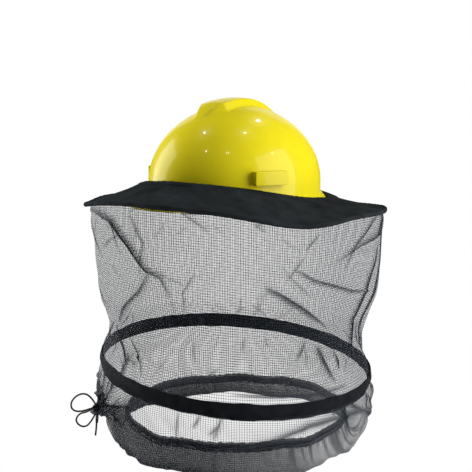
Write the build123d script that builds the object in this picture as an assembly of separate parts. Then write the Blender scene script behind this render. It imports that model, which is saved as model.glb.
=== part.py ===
"""Round beekeeping veil carried by a safety helmet.

Frame: millimetres, +Z up. The wearer faces -Y and the wearer's left is +X. The origin is the
centre of the head opening, level with the middle of the wire in the rim of the fabric brim.
"""
from build123d import *
import math
import os

# ---- helmet shell ----
SHELL_HALF_WIDTH = 102.5
SHELL_HALF_LENGTH = 125.0
SHELL_RISE = 101.0
SHELL_WALL = 2.5
SHELL_BASE_Z = 32.0
FLARE_TOP_Z = 20.0
FLARE_TALL = 12.0
FLARE_LOW_Z = FLARE_TOP_Z - FLARE_TALL
SIDE_REACH = 8.0
PEAK_REACH = 33.0
REAR_REACH = 14.0
FLARE_DROP = 2.5

# ---- crown ridge ----
RIDGE_HEIGHT = 9.0
RIDGE_HALF_WIDTH = 22.0
RIDGE_TIP_Y = -70.0
RIDGE_SHOULDER_Y = -52.0
RIDGE_TAIL_Y = 106.0
RIDGE_TAIL_HALF_WIDTH = 15.0
RIDGE_SHIFT_Y = -8.0
RIDGE_DRAFT = 3.0
RIDGE_ROOT_SHARE = 0.35
RIDGE_OVERRUN = 5.0
RIDGE_LENGTH_SHARE = 0.4

# ---- accessory pockets on the sides of the shell ----
POCKET_ANGLE = 65.0
POCKET_LENGTH = 46.0
POCKET_HEIGHT = 17.0
POCKET_BASE_Z = 35.5
POCKET_PROUD = 7.4
POCKET_ROOT_SHARE = 0.35
POCKET_ROUND = 2.5
SLOT_LENGTH = 30.0
SLOT_GAP = 3.8
SLOT_DEPTH = 13.0
SLOT_FACE_WALL = 2.4

# ---- suspension ----
BAND_HALF_WIDTH = 76.0
BAND_HALF_LENGTH = 95.0
BAND_REAR_Y = BAND_HALF_LENGTH - 2.0
BAND_REAR_HALF = 30.0
BAND_BULGE_SHARE = 0.82
BAND_THICK = 2.0
BAND_LOW_Z = -2.0
BAND_HEIGHT = 30.0
SWEAT_THICK = 3.0
SWEAT_OVERLAP = 1.0
SWEAT_END_Y = 12.0
STRAP_WIDTH = 20.0
STRAP_THICK = 1.2
STRAP_RADIUS = SHELL_HALF_WIDTH - 6.5
STRAP_TOP_Z = SHELL_BASE_Z + SHELL_RISE - 29.0
STRAP_END_Z = SHELL_BASE_Z + 2.0
STRAP_STACK = 1.0
STRAP_ANGLE = 48.0
KEY_WIDTH = 26.0
KEY_TALL = 26.0
KEY_INSIDE = 3.0
KEY_OUTSIDE = 31.0
KEY_ARM_TALL = 6.0
KEY_ARM_WIDTH = 12.0
KEY_ARM_INSIDE = 10.0
KEY_ARM_OUTSIDE = 2.0
CROWN_PAD_RADIUS = 30.0
CROWN_PAD_THICK = 4.0
CROWN_PAD_GAP = 1.0
CROWN_PAD_ROUND_SHARE = 0.3

# ---- ratchet at the nape ----
PINION_TEETH = 12
TOOTH_MODULE = 1.0
TOOTH_DEPTH = 1.7
TOOTH_SHARE = 0.34
TOOTH_TIP_SHARE = 0.45
TOOTH_ROOT_GAP = 0.15
TOOTH_ROOTED = 0.4
PINION_TOOTH_SPREAD = 0.35
RACK_TOOTH_SPREAD = 0.5
RACK_THICK = 1.5
RACK_TALL = 7.0
RACK_SHORT_END = 17.0
RACK_LONG_END = BAND_REAR_HALF + 14.0
RATCHET_GAP = 0.4
RATCHET_Z = 9.0
HOUSING_HALF = BAND_REAR_HALF - 0.6
HOUSING_WALL = 2.0
COVER_HALF = BAND_REAR_HALF + 3.0
COVER_THICK = 2.0
COVER_ROUND_SHARE = 0.25
KNOB_RADIUS = 14.0
KNOB_THICK = 10.0
KNOB_ROUND = 1.5
KNOB_GRIPS = 16
GRIP_RADIUS = 1.6
GRIP_PROUD_SHARE = 0.45
SHAFT_RADIUS = 3.0
SHAFT_CLEARANCE = 0.06
NAPE_PAD_THICK = 6.0
NAPE_PAD_HALF = BAND_REAR_HALF - 3.0
NAPE_PAD_ROUND = 5.0

# ---- fabric brim: it rides up at the front by BRIM_PITCH ----
RIM_RADIUS = 193.0
RIM_WIRE_RADIUS = 1.5
BINDING_RADIUS = 3.4
BRIM_PITCH = 3.2
COVER_FABRIC = 1.0
STIFFENER_FABRIC = 1.6
LINING_FABRIC = 1.0
CASING_FIT = 0.5
CASING_WALL = 1.0
CASING_TALL = 6.5
CASING_WIDTH = 15.0
BRIM_HOLE_HALF_WIDTH = SHELL_HALF_WIDTH + CASING_FIT + CASING_WIDTH
BRIM_HOLE_HALF_LENGTH = SHELL_HALF_LENGTH + CASING_FIT + CASING_WIDTH
CASING_Z = FLARE_TOP_Z + 7.0
ELASTIC_WIDTH = 10.0
ELASTIC_THICK = 1.6
ELASTIC_INSET = 0.5
FLARE_CLEARANCE = 0.4

# ---- hoop that holds the net off the shoulders ----
HOOP_RADIUS = 180.0
HOOP_Z = -210.0
HOOP_TILT = 5.8
HOOP_WIRE_RADIUS = 1.75
TAPE_TALL = 20.0
TAPE_THICK = 6.0
TAPE_ROUND_SHARE = 0.42
FERRULE_RADIUS = 2.6
FERRULE_LENGTH = 26.0
JOIN_ANGLE = 75.0
LAP_AFTER_JOIN = 14.0
LAP_LENGTH = 34.0
LAP_THICK = 0.9
LAP_MARGIN = 3.0

# ---- nets ----
NET_WALL = 1.5
NET_END_GAP = 0.4
NET_TOP_INSET = 1.0
SEAM_WIDTH = 8.0
SEAM_THICK = 1.0
SEAM_ANGLE = 42.0
# Share of the way down, share of the way in from the rim to the hoop, change of radius, share of the tilt.
UPPER_NET_SHAPE = [
    (0.00, 0.00, -NET_TOP_INSET, 0.00),
    (0.32, 0.00, -3.0, 0.05),
    (0.55, 0.50, -3.5, 0.25),
    (0.76, 1.00, -10.0, 0.55),
    (0.88, 1.00, -11.0, 0.80),
    (1.00, 1.00, 0.0, 1.00),
]
# Share of the way down, change of radius from the hoop, share of the tilt.
SKIRT_SHAPE = [
    (0.00, 0.0, 1.00),
    (0.30, 3.0, 0.60),
    (0.62, 1.0, 0.25),
    (0.86, -6.0, 0.00),
]

# ---- gathered hem ----
HEM_RADIUS = HOOP_RADIUS - 33.0
HEM_Z = HOOP_Z - 69.0
HEM_CASING_TALL = 14.0
HEM_CASING_THICK = 7.0
HEM_CASING_WALL = 1.2
HEM_CASING_ROUND_SHARE = 0.4
HEM_NET_SHARE = 0.3
HEM_INSET = 0.1
HEM_ELASTIC_TALL = 7.0
HEM_ELASTIC_THICK = 1.5
BLOUSE_RADIUS = HEM_RADIUS + 16.0
BLOUSE_Z = HEM_Z - 37.0

# ---- draw cord ----
CORD_DIAMETER = 2.5
BOW_ANGLE = 222.0
BOW_Z = HEM_Z + 4.0
KNOT_RADIUS = 5.0
KNOT_OUT = HOOP_RADIUS + 8.0
EYELET_RADIUS = 7.0
EYELET_HOLE = 3.6
EYELET_THICK = 3.0
EYELET_ROUND_SHARE = 0.25
LEAD_SPACING = 3.2
EYELET_CLEARANCE = 0.5
EYELET_CUT = 40.0
CORNER_SHARE = 0.45

# Routes of the bow, from the knot: outward, sideways, up.
UPPER_LOOP = [
    (4.0, 1.0, 3.0),
    (11.0, 2.5, 17.0),
    (25.0, 4.0, 19.0),
    (37.0, 5.0, 8.0),
    (36.0, 4.0, -5.0),
    (22.0, 2.0, -8.0),
    (4.7, 0.5, -1.2),
]
LOWER_LOOP = [
    (4.0, -2.2, -2.0),
    (15.0, -5.0, -10.0),
    (28.0, -7.0, -13.0),
    (34.0, -7.5, -24.0),
    (24.0, -6.0, -33.0),
    (12.0, -3.5, -27.0),
    (1.2, -0.8, -4.8),
]
TAIL_ONE = [
    (0.6, 3.0, -4.0),
    (2.5, 7.0, -13.0),
    (1.0, 12.0, -24.0),
    (3.0, 13.0, -37.0),
]
TAIL_TWO = [
    (1.0, -4.3, -2.2),
    (4.0, -11.0, -9.0),
    (3.0, -15.0, -21.0),
    (5.5, -21.0, -31.0),
]

INFINITE = 800.0
CUT = 1.0


def ellipse_at(half_x, half_y, z, y=0.0):
    """A flat ellipse at height z."""
    return Pos(0, y, z) * Ellipse(half_x, half_y)


def tilted_circle(radius, z, share):
    """A circle between the tilt of the brim, at share 0, and the tilt of the hoop, at share 1."""
    return Pos(0, 0, z) * Rot(-BRIM_PITCH * (1.0 - share), HOOP_TILT * share, 0) * Circle(radius)


def ellipsoid(half_x, half_y, half_z, centre_z, centre_y=0.0):
    """A whole ellipsoid."""
    ball = scale(Sphere(half_y), by=(half_x / half_y, 1.0, half_z / half_y))
    return Pos(0, centre_y, centre_z) * ball


def above(z):
    """Everything above height z."""
    return Pos(0, 0, z + INFINITE / 2) * Box(INFINITE, INFINITE, INFINITE)


def ring_tube(radius, section):
    """A ring made by turning a section about the vertical axis."""
    return revolve(Plane.XZ * Pos(radius, 0) * section, Axis.Z)


def wedge(angle, width, low, high):
    """An upright bar from the axis outward, for cutting a short stretch of a ring."""
    bar = Pos(INFINITE / 4, 0, (low + high) / 2) * Box(INFINITE / 2, width, high - low)
    return Rot(0, 0, angle) * bar


def shell_outer():
    """The outside of the helmet, filled."""
    dome = ellipsoid(SHELL_HALF_WIDTH, SHELL_HALF_LENGTH, SHELL_RISE, SHELL_BASE_Z) & above(SHELL_BASE_Z)
    wall = extrude(ellipse_at(SHELL_HALF_WIDTH, SHELL_HALF_LENGTH, FLARE_TOP_Z), SHELL_BASE_Z - FLARE_TOP_Z)
    return dome + wall


def flare(drop=0.0):
    """The sloping rim with its peak, filled, moved down by drop."""
    half_y = SHELL_HALF_LENGTH + (PEAK_REACH + REAR_REACH) / 2
    centre_y = (REAR_REACH - PEAK_REACH) / 2
    low = ellipse_at(SHELL_HALF_WIDTH + SIDE_REACH, half_y, FLARE_LOW_Z - drop, centre_y)
    high = ellipse_at(SHELL_HALF_WIDTH, SHELL_HALF_LENGTH, FLARE_TOP_Z - drop)
    return loft([low, high], ruled=True)


def shell_cavity():
    """The inside of the helmet, filled."""
    half_x = SHELL_HALF_WIDTH - SHELL_WALL
    half_y = SHELL_HALF_LENGTH - SHELL_WALL
    dome = ellipsoid(half_x, half_y, SHELL_RISE - SHELL_WALL, SHELL_BASE_Z) & above(SHELL_BASE_Z)
    low_z = FLARE_LOW_Z - SHELL_WALL
    bore = extrude(ellipse_at(half_x, half_y, low_z), SHELL_BASE_Z - low_z)
    return dome + bore


def crown_ridge():
    """The raised band along the crown, pointed at the front and sinking in at the back."""
    plan = make_face(Polyline(
        (0, RIDGE_TIP_Y),
        (RIDGE_HALF_WIDTH, RIDGE_SHOULDER_Y),
        (RIDGE_TAIL_HALF_WIDTH, RIDGE_TAIL_Y),
        (-RIDGE_TAIL_HALF_WIDTH, RIDGE_TAIL_Y),
        (-RIDGE_HALF_WIDTH, RIDGE_SHOULDER_Y),
        close=True,
    ))
    base_z = SHELL_BASE_Z + SHELL_RISE * RIDGE_ROOT_SHARE
    top_z = SHELL_BASE_Z + SHELL_RISE + RIDGE_HEIGHT + RIDGE_OVERRUN
    prism = extrude(Pos(0, 0, base_z) * plan, top_z - base_z, taper=RIDGE_DRAFT)
    skin = ellipsoid(
        SHELL_HALF_WIDTH + RIDGE_HEIGHT,
        SHELL_HALF_LENGTH + RIDGE_SHIFT_Y + RIDGE_HEIGHT * RIDGE_LENGTH_SHARE,
        SHELL_RISE + RIDGE_HEIGHT,
        SHELL_BASE_Z,
        RIDGE_SHIFT_Y,
    )
    return prism & skin


def pocket_place(side):
    """The place of a side pocket: local +X points out of the shell."""
    turn = POCKET_ANGLE - 90.0 if side > 0 else 270.0 - POCKET_ANGLE
    return Rot(0, 0, turn)


def wall_radius(angle):
    """Distance from the upright axis to the shell's wall, at an angle from the front."""
    turn = math.radians(angle)
    return 1.0 / math.hypot(math.sin(turn) / SHELL_HALF_WIDTH, math.cos(turn) / SHELL_HALF_LENGTH)


POCKET_FACE = wall_radius(POCKET_ANGLE) + POCKET_PROUD


def pocket(side):
    """A moulded block on the side of the shell."""
    depth = POCKET_FACE * POCKET_ROOT_SHARE
    block = Box(depth, POCKET_LENGTH, POCKET_HEIGHT)
    block = fillet(block.edges().filter_by(Axis.X), POCKET_ROUND)
    centre_z = POCKET_BASE_Z + POCKET_HEIGHT / 2
    return pocket_place(side) * Pos(POCKET_FACE - depth / 2, 0, centre_z) * block


def pocket_slot(side):
    """The slot that an ear muff or visor arm pushes up into."""
    slot = Box(SLOT_GAP, SLOT_LENGTH, SLOT_DEPTH)
    centre_x = POCKET_FACE - SLOT_FACE_WALL - SLOT_GAP / 2
    return pocket_place(side) * Pos(centre_x, 0, POCKET_BASE_Z + SLOT_DEPTH / 2) * slot


def helmet_shell():
    """The whole moulded shell."""
    outer = shell_outer() + crown_ridge()
    for side in (1, -1):
        outer += pocket(side)
    shell = outer + flare()
    shell -= shell_cavity()
    shell -= flare(FLARE_DROP)
    for side in (1, -1):
        shell -= pocket_slot(side)
    return shell


def band_outline(grow):
    """Outline of the headband: half an ellipse in front, flattened across the nape."""
    half_x = BAND_HALF_WIDTH + grow
    half_y = BAND_HALF_LENGTH + grow
    rear_y = BAND_REAR_Y + grow
    front = EllipticalCenterArc((0, 0), half_x, half_y, start_angle=180, arc_size=180)
    bulge = half_x * BAND_BULGE_SHARE
    right = Bezier((half_x, 0), (half_x, half_y / 2), (bulge, rear_y), (BAND_REAR_HALF, rear_y))
    left = Bezier((-half_x, 0), (-half_x, half_y / 2), (-bulge, rear_y), (-BAND_REAR_HALF, rear_y))
    rear = Line((BAND_REAR_HALF, rear_y), (-BAND_REAR_HALF, rear_y))
    return make_face([front, right, rear, left])


def band_ring(inner, outer, low, tall):
    """A ring that follows the headband's outline."""
    ring = extrude(Pos(0, 0, low) * band_outline(outer), tall)
    return ring - extrude(Pos(0, 0, low - CUT) * band_outline(inner), tall + 2 * CUT)


def headband():
    """The plastic headband, open across the nape."""
    ring = band_ring(0.0, BAND_THICK, BAND_LOW_Z, BAND_HEIGHT)
    gap = Pos(0, BAND_REAR_Y, 0) * Box(BAND_REAR_HALF * 2, BAND_HALF_LENGTH, INFINITE)
    return ring - gap


def brow_sweatband():
    """The soft strip inside the front of the headband."""
    ring = band_ring(-SWEAT_THICK, 0.0, BAND_LOW_Z - SWEAT_OVERLAP, BAND_HEIGHT + 2 * SWEAT_OVERLAP)
    front = Pos(0, SWEAT_END_Y - INFINITE / 2, 0) * Box(INFINITE, INFINITE, INFINITE)
    return ring & front


def crown_strap(angle, sink):
    """One webbing strap over the head, between two opposite keys."""
    rise = STRAP_TOP_Z - STRAP_END_Z - sink
    outer = Ellipse(STRAP_RADIUS, rise) - Ellipse(STRAP_RADIUS - STRAP_THICK, rise - STRAP_THICK)
    arch = outer & Pos(0, INFINITE / 2) * Rectangle(INFINITE, INFINITE)
    strap = extrude(Plane.XZ * arch, STRAP_WIDTH / 2, both=True)
    return Rot(0, 0, angle) * Pos(0, 0, STRAP_END_Z) * strap


def strap_key(angle, straps):
    """A key that clips into the shell and carries one strap end and the headband."""
    low_x = STRAP_RADIUS - KEY_INSIDE
    body = Pos(low_x + KEY_OUTSIDE / 2, 0, STRAP_END_Z) * Box(KEY_OUTSIDE, KEY_WIDTH, KEY_TALL)
    arm_start = BAND_HALF_WIDTH - KEY_ARM_INSIDE
    arm_end = STRAP_RADIUS + KEY_ARM_OUTSIDE
    arm_z = STRAP_END_Z - KEY_TALL / 2 + KEY_ARM_TALL / 2
    arm = Pos((arm_start + arm_end) / 2, 0, arm_z) * Box(arm_end - arm_start, KEY_ARM_WIDTH, KEY_ARM_TALL)
    turned = Rot(0, 0, angle) * (body + arm)
    inside = extrude(Pos(0, 0, BAND_LOW_Z) * band_outline(BAND_THICK), BAND_HEIGHT + KEY_TALL)
    key = (turned & shell_cavity()) - inside
    for strap in straps:
        key -= strap
    return key


def under_straps():
    """The space under the lower strap."""
    drop = 2 * (STRAP_THICK + STRAP_STACK)
    radius = STRAP_RADIUS - STRAP_THICK
    return ellipsoid(radius, radius, STRAP_TOP_Z - STRAP_END_Z - drop, STRAP_END_Z)


def crown_pad():
    """The round pad under the crossing of the straps."""
    low = STRAP_TOP_Z - 2 * STRAP_THICK - STRAP_STACK - CROWN_PAD_THICK - CROWN_PAD_GAP
    disc = Cylinder(CROWN_PAD_RADIUS, CROWN_PAD_THICK, align=(Align.CENTER, Align.CENTER, Align.MIN))
    pad = Pos(0, 0, low) * disc
    pad = fillet(pad.edges(), CROWN_PAD_THICK * CROWN_PAD_ROUND_SHARE)
    return pad & under_straps()


# ---- ratchet: everything is placed from the middle plane of the racks ----
PITCH_RADIUS = PINION_TEETH * TOOTH_MODULE / 2
RACK_PITCH = math.pi * TOOTH_MODULE
RACK_LOW_Y = BAND_REAR_Y + BAND_THICK + RATCHET_GAP
RACK_MID_Y = RACK_LOW_Y + RACK_THICK / 2
COVER_LOW_Y = RACK_LOW_Y + RACK_THICK + RATCHET_GAP
KNOB_LOW_Y = COVER_LOW_Y + COVER_THICK + RATCHET_GAP
HOUSING_TALL = 2 * (PITCH_RADIUS + RACK_TALL + RATCHET_GAP + HOUSING_WALL)


def nape_block(half_x, low_y, high_y, tall):
    """A block across the nape, centred on the knob's axis."""
    size_y = high_y - low_y
    return Pos(0, low_y + size_y / 2, RATCHET_Z) * Box(2 * half_x, size_y, tall)


def nape_rod(radius, low_y, high_y):
    """A round rod along the knob's axis."""
    length = high_y - low_y
    return Pos(0, low_y + length / 2, RATCHET_Z) * Rot(90, 0, 0) * Cylinder(radius, length)


def tooth(root_half, tip_half, depth):
    """One straight-sided tooth pointing along +Y in its own plane."""
    return make_face(Polyline(
        (-root_half, -TOOTH_ROOTED),
        (-tip_half, depth),
        (tip_half, depth),
        (root_half, -TOOTH_ROOTED),
        close=True,
    ))


def rack(side):
    """One toothed end of the headband; the two face each other across the pinion."""
    root = PITCH_RADIUS + TOOTH_DEPTH / 2 + TOOTH_ROOT_GAP
    high = PITCH_RADIUS + RACK_TALL
    length = RACK_SHORT_END + RACK_LONG_END
    bar = Pos((RACK_LONG_END - RACK_SHORT_END) / 2, (root + high) / 2) * Rectangle(length, high - root)
    half = RACK_PITCH * TOOTH_SHARE / 2
    count = int(2 * RACK_SHORT_END / RACK_PITCH)
    first = -(count // 2) * RACK_PITCH + (0.0 if count % 2 else RACK_PITCH / 2)
    outline = bar
    for index in range(count):
        cut = tooth(half + RACK_TOOTH_SPREAD, half * TOOTH_TIP_SHARE, TOOTH_DEPTH)
        outline += Pos(first + index * RACK_PITCH, root) * Rot(0, 0, 180) * cut
    standing = Pos(0, RACK_LOW_Y + RACK_THICK, 0) * Rot(90, 0, 0) * extrude(outline, RACK_THICK)
    if side < 0:
        standing = Rot(0, 180, 0) * standing
    return Pos(0, 0, RATCHET_Z) * standing


def pinion():
    """The small gear between the racks."""
    root = PITCH_RADIUS - TOOTH_DEPTH / 2 - TOOTH_ROOT_GAP
    half = RACK_PITCH * TOOTH_SHARE / 2
    outline = Circle(root)
    for index in range(PINION_TEETH):
        cut = tooth(half + PINION_TOOTH_SPREAD, half * TOOTH_TIP_SHARE, TOOTH_DEPTH)
        outline += Rot(0, 0, index * 360.0 / PINION_TEETH) * Pos(0, root) * cut
    gear = extrude(outline, RACK_THICK)
    return Pos(0, RACK_LOW_Y + RACK_THICK, RATCHET_Z) * Rot(90, 0, 0) * gear


def ratchet_housing():
    """The tray that the racks slide in, with a bush for the shaft."""
    low_y = BAND_REAR_Y
    floor_y = RACK_LOW_Y - RATCHET_GAP
    block = nape_block(HOUSING_HALF, low_y, COVER_LOW_Y, HOUSING_TALL)
    channel = nape_block(HOUSING_HALF + CUT, floor_y, COVER_LOW_Y + CUT, HOUSING_TALL - 2 * HOUSING_WALL)
    return block - channel - nape_rod(SHAFT_RADIUS + SHAFT_CLEARANCE, low_y - CUT, COVER_LOW_Y)


def ratchet_cover():
    """The outer cover plate of the ratchet."""
    plate = nape_block(COVER_HALF, COVER_LOW_Y, COVER_LOW_Y + COVER_THICK, HOUSING_TALL)
    plate = fillet(plate.edges().filter_by(Axis.Y), HOUSING_TALL * COVER_ROUND_SHARE)
    return plate - nape_rod(SHAFT_RADIUS + SHAFT_CLEARANCE, COVER_LOW_Y - CUT, KNOB_LOW_Y)


def ratchet_knob():
    """The knob with its grip ribs, shaft and pinion in one moulding."""
    knob = nape_rod(KNOB_RADIUS, KNOB_LOW_Y, KNOB_LOW_Y + KNOB_THICK)
    knob = fillet(knob.edges().sort_by(Axis.Y)[-1], KNOB_ROUND)
    reach = KNOB_RADIUS + GRIP_RADIUS * GRIP_PROUD_SHARE
    for index in range(KNOB_GRIPS):
        turn = index * 360.0 / KNOB_GRIPS
        groove = Pos(0, 0, reach) * Rot(90, 0, 0) * Cylinder(GRIP_RADIUS, KNOB_THICK * 3)
        knob -= Pos(0, KNOB_LOW_Y, RATCHET_Z) * Rot(0, turn, 0) * groove
    shaft = nape_rod(SHAFT_RADIUS, BAND_REAR_Y, KNOB_LOW_Y + CUT)
    return knob + shaft + pinion()


def nape_pad():
    """The soft pad between the ratchet and the neck."""
    pad = nape_block(NAPE_PAD_HALF, BAND_REAR_Y - NAPE_PAD_THICK, BAND_REAR_Y, HOUSING_TALL)
    return fillet(pad.edges().filter_by(Axis.Y), NAPE_PAD_ROUND)


def hole_frame():
    """The place of the brim's hole: centred on the casing and pitched with the brim."""
    return Pos(0, 0, CASING_Z) * Rot(-BRIM_PITCH, 0, 0)


def rim_frame():
    """The place of the brim's wire."""
    return Rot(-BRIM_PITCH, 0, 0)


def brim_layer(top, thickness):
    """One layer of the sloping brim; top is how far its upper face lies below the brim's surface."""
    hole = Ellipse(BRIM_HOLE_HALF_WIDTH, BRIM_HOLE_HALF_LENGTH)

    def solid(drop):
        low = rim_frame() * Pos(0, 0, -drop) * Circle(RIM_RADIUS)
        high = hole_frame() * Pos(0, 0, -drop) * hole
        return loft([low, high], ruled=True)

    layer = solid(top) - solid(top + thickness)
    bore = hole_frame() * Pos(0, 0, -INFINITE / 2) * extrude(hole, INFINITE)
    return layer - bore - rim_frame() * Torus(RIM_RADIUS, BINDING_RADIUS)


def rim_binding():
    """The rolled edge of the brim, round its wire."""
    return rim_frame() * (Torus(RIM_RADIUS, BINDING_RADIUS) - Torus(RIM_RADIUS, RIM_WIRE_RADIUS))


def casing_ring(inner_gap, outer_gap, tall):
    """A ring between the shell's wall and the brim's hole, clear of the shell's flare."""
    wall_x = SHELL_HALF_WIDTH + CASING_FIT + inner_gap
    wall_y = SHELL_HALF_LENGTH + CASING_FIT + inner_gap
    outer = Ellipse(BRIM_HOLE_HALF_WIDTH - outer_gap, BRIM_HOLE_HALF_LENGTH - outer_gap)
    ring = extrude(outer, tall) - extrude(Ellipse(wall_x, wall_y), tall)
    return hole_frame() * Pos(0, 0, -tall / 2) * ring


def raised_flare(gap):
    """The filled flare of the shell, moved up by a gap."""
    return flare(-gap)


def elastic_casing():
    """The gathered fabric channel that grips the helmet."""
    casing = casing_ring(0.0, 0.0, CASING_TALL) - raised_flare(FLARE_CLEARANCE)
    cavity = casing_ring(CASING_WALL, CASING_WALL, CASING_TALL - 2 * CASING_WALL)
    return casing - (cavity - raised_flare(FLARE_CLEARANCE + CASING_WALL))


def elastic_band():
    """The elastic inside the channel."""
    inner = CASING_WALL + ELASTIC_INSET
    band = casing_ring(inner, CASING_WIDTH - inner - ELASTIC_WIDTH, ELASTIC_THICK)
    return band - raised_flare(FLARE_CLEARANCE + inner)


def net_sections():
    """Radius, height and share of the tilt, from the brim down to the hoop."""
    top = -BINDING_RADIUS - NET_END_GAP
    low = HOOP_Z + TAPE_TALL / 2 + NET_END_GAP
    return [
        (RIM_RADIUS + (HOOP_RADIUS - RIM_RADIUS) * inward + change, top + (low - top) * down, tilt)
        for down, inward, change, tilt in UPPER_NET_SHAPE
    ]


def lofted(sections, grow):
    """A filled body through the sections, grown by a thickness."""
    return loft([tilted_circle(radius + grow, z, share) for radius, z, share in sections])


def level_lofted(sections, grow):
    """As lofted, but share 0 of the tilt is level."""
    return loft([
        Pos(0, 0, z) * Rot(0, HOOP_TILT * share, 0) * Circle(radius + grow)
        for radius, z, share in sections
    ])


def hoop_frame():
    """The hoop's own tilted frame."""
    return Pos(0, 0, HOOP_Z) * Rot(0, HOOP_TILT, 0)


def upper_net():
    """The net between the brim and the hoop."""
    return lofted(net_sections(), 0.0) - lofted(net_sections(), -NET_WALL)


def net_seam():
    """The sewn seam that closes the net into a tube."""
    body = lofted(net_sections(), SEAM_THICK) - lofted(net_sections(), 0.0)
    return body & wedge(SEAM_ANGLE, SEAM_WIDTH, HOOP_Z - HOOP_RADIUS, RIM_RADIUS)


def tape_block(grow=0.0):
    """The hoop's tape, filled."""
    section = RectangleRounded(TAPE_THICK + 2 * grow, TAPE_TALL + 2 * grow, TAPE_THICK * TAPE_ROUND_SHARE)
    return hoop_frame() * ring_tube(HOOP_RADIUS, section)


def ferrule_block():
    """The crimped sleeve, filled."""
    rod = Pos(HOOP_RADIUS, 0, 0) * Rot(90, 0, 0) * Cylinder(FERRULE_RADIUS, FERRULE_LENGTH)
    return hoop_frame() * Rot(0, 0, JOIN_ANGLE) * rod


def hoop_wire():
    """The spring steel ring."""
    return hoop_frame() * Torus(HOOP_RADIUS, HOOP_WIRE_RADIUS)


def tape_lap():
    """The stitched end of the tape, lying over its start."""
    section = Pos(TAPE_THICK / 2 + LAP_THICK / 2, 0) * Rectangle(LAP_THICK, TAPE_TALL - 2 * LAP_MARGIN)
    ring = ring_tube(HOOP_RADIUS, section)
    short = ring & wedge(JOIN_ANGLE + LAP_AFTER_JOIN, LAP_LENGTH, -TAPE_TALL, TAPE_TALL)
    return hoop_frame() * short


def skirt_sections():
    """Radius, height and share of the tilt, from the hoop down to the fold."""
    top = HOOP_Z - TAPE_TALL / 2
    span = BLOUSE_Z - top
    sections = [(HOOP_RADIUS + change, top + span * down, tilt) for down, change, tilt in SKIRT_SHAPE]
    return sections + [(BLOUSE_RADIUS, BLOUSE_Z, 0.0)]


def skirt_net():
    """The lower net: down from the hoop, folded up inside to the gathered hem."""
    body = level_lofted(skirt_sections(), 0.0) - level_lofted(skirt_sections(), -NET_WALL)
    hem_low = HEM_Z - HEM_CASING_TALL / 2 - NET_END_GAP

    def cone(grow):
        low = Pos(0, 0, BLOUSE_Z) * Circle(BLOUSE_RADIUS + grow)
        high = Pos(0, 0, hem_low) * Circle(HEM_RADIUS + HEM_CASING_THICK * HEM_NET_SHARE + grow)
        return loft([low, high], ruled=True)

    body += cone(0.0) - cone(-NET_WALL)
    body -= tape_block(NET_END_GAP)
    return body - bow_frame() * Rot(0, 90, 0) * Cylinder(EYELET_RADIUS + EYELET_CLEARANCE, EYELET_CUT)


def hem_casing():
    """The channel along the gathered hem."""
    outer = RectangleRounded(HEM_CASING_THICK, HEM_CASING_TALL, HEM_CASING_THICK * HEM_CASING_ROUND_SHARE)
    inner = Rectangle(HEM_CASING_THICK - 2 * HEM_CASING_WALL, HEM_CASING_TALL - 4 * HEM_CASING_WALL)
    return Pos(0, 0, HEM_Z) * ring_tube(HEM_RADIUS, outer - inner)


def hem_elastic():
    """The flat elastic in the hem."""
    offset_in = -HEM_CASING_THICK / 2 + HEM_CASING_WALL + HEM_ELASTIC_THICK / 2 + HEM_INSET
    section = Pos(offset_in, 0) * Rectangle(HEM_ELASTIC_THICK, HEM_ELASTIC_TALL)
    return Pos(0, 0, HEM_Z) * ring_tube(HEM_RADIUS, section)


def draw_cord():
    """The draw cord where it runs through the hem, beside the elastic."""
    out = HEM_CASING_THICK / 2 - HEM_CASING_WALL - CORD_DIAMETER / 2 - HEM_INSET
    return Pos(0, 0, HEM_Z) * Torus(HEM_RADIUS + out, CORD_DIAMETER / 2)


def bow_frame():
    """The knot's frame: +X points outward."""
    return Rot(0, 0, BOW_ANGLE) * Pos(KNOT_OUT, 0, BOW_Z)


def cord_eyelet():
    """The eyelet in the skirt that the two cord ends come out of."""
    ring = Cylinder(EYELET_RADIUS, EYELET_THICK) - Cylinder(EYELET_HOLE, EYELET_THICK)
    ring = fillet(ring.edges(), EYELET_THICK * EYELET_ROUND_SHARE)
    return bow_frame() * Pos(HOOP_RADIUS - KNOT_OUT - NET_WALL / 2, 0, 0) * Rot(0, 90, 0) * ring


def draw_leads():
    """The two stretches of cord between the hem's channel and the knot."""
    start = HEM_RADIUS + HEM_CASING_THICK / 2
    length = KNOT_OUT - start
    leads = []
    for side in (-1, 1):
        rod = Rot(0, 90, 0) * Cylinder(CORD_DIAMETER / 2, length)
        placed = bow_frame() * Pos(-length / 2, side * LEAD_SPACING / 2, 0) * rod
        placed -= bow_frame() * Sphere(KNOT_RADIUS)
        placed -= Pos(0, 0, HEM_Z) * ring_tube(HEM_RADIUS, Rectangle(HEM_CASING_THICK, HEM_CASING_TALL))
        leads.append(placed)
    return Compound(children=[piece.solid() for piece in leads])


def draw_knot():
    """The knot at the middle of the bow."""
    return bow_frame() * Sphere(KNOT_RADIUS)


def corner_radii(points):
    """The radius at each corner: a share of the shorter run over the tangent of half the turn."""
    radii = []
    for before, here, after in zip(points, points[1:], points[2:]):
        run_in = Vector(here) - Vector(before)
        run_out = Vector(after) - Vector(here)
        turn = math.radians(run_in.get_angle(run_out))
        radii.append(CORNER_SHARE * min(run_in.length, run_out.length) / math.tan(turn / 2))
    return radii


def cord_tube(name, points):
    """A free stretch of cord along its route."""
    radii = corner_radii(points)
    path = bow_frame() * FilletPolyline(*points, radius=radii)
    start = Plane(origin=path @ 0, z_dir=path % 0)
    tube = sweep(start * Circle(CORD_DIAMETER / 2), path=path)
    expected = math.pi * CORD_DIAMETER ** 2 / 4 * path.length
    print(
        name, "length", round(path.length, 1), "volume ratio", round(tube.volume / expected, 3),
        "radii", [round(radius, 1) for radius in radii],
    )
    return tube - bow_frame() * Sphere(KNOT_RADIUS)


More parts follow.
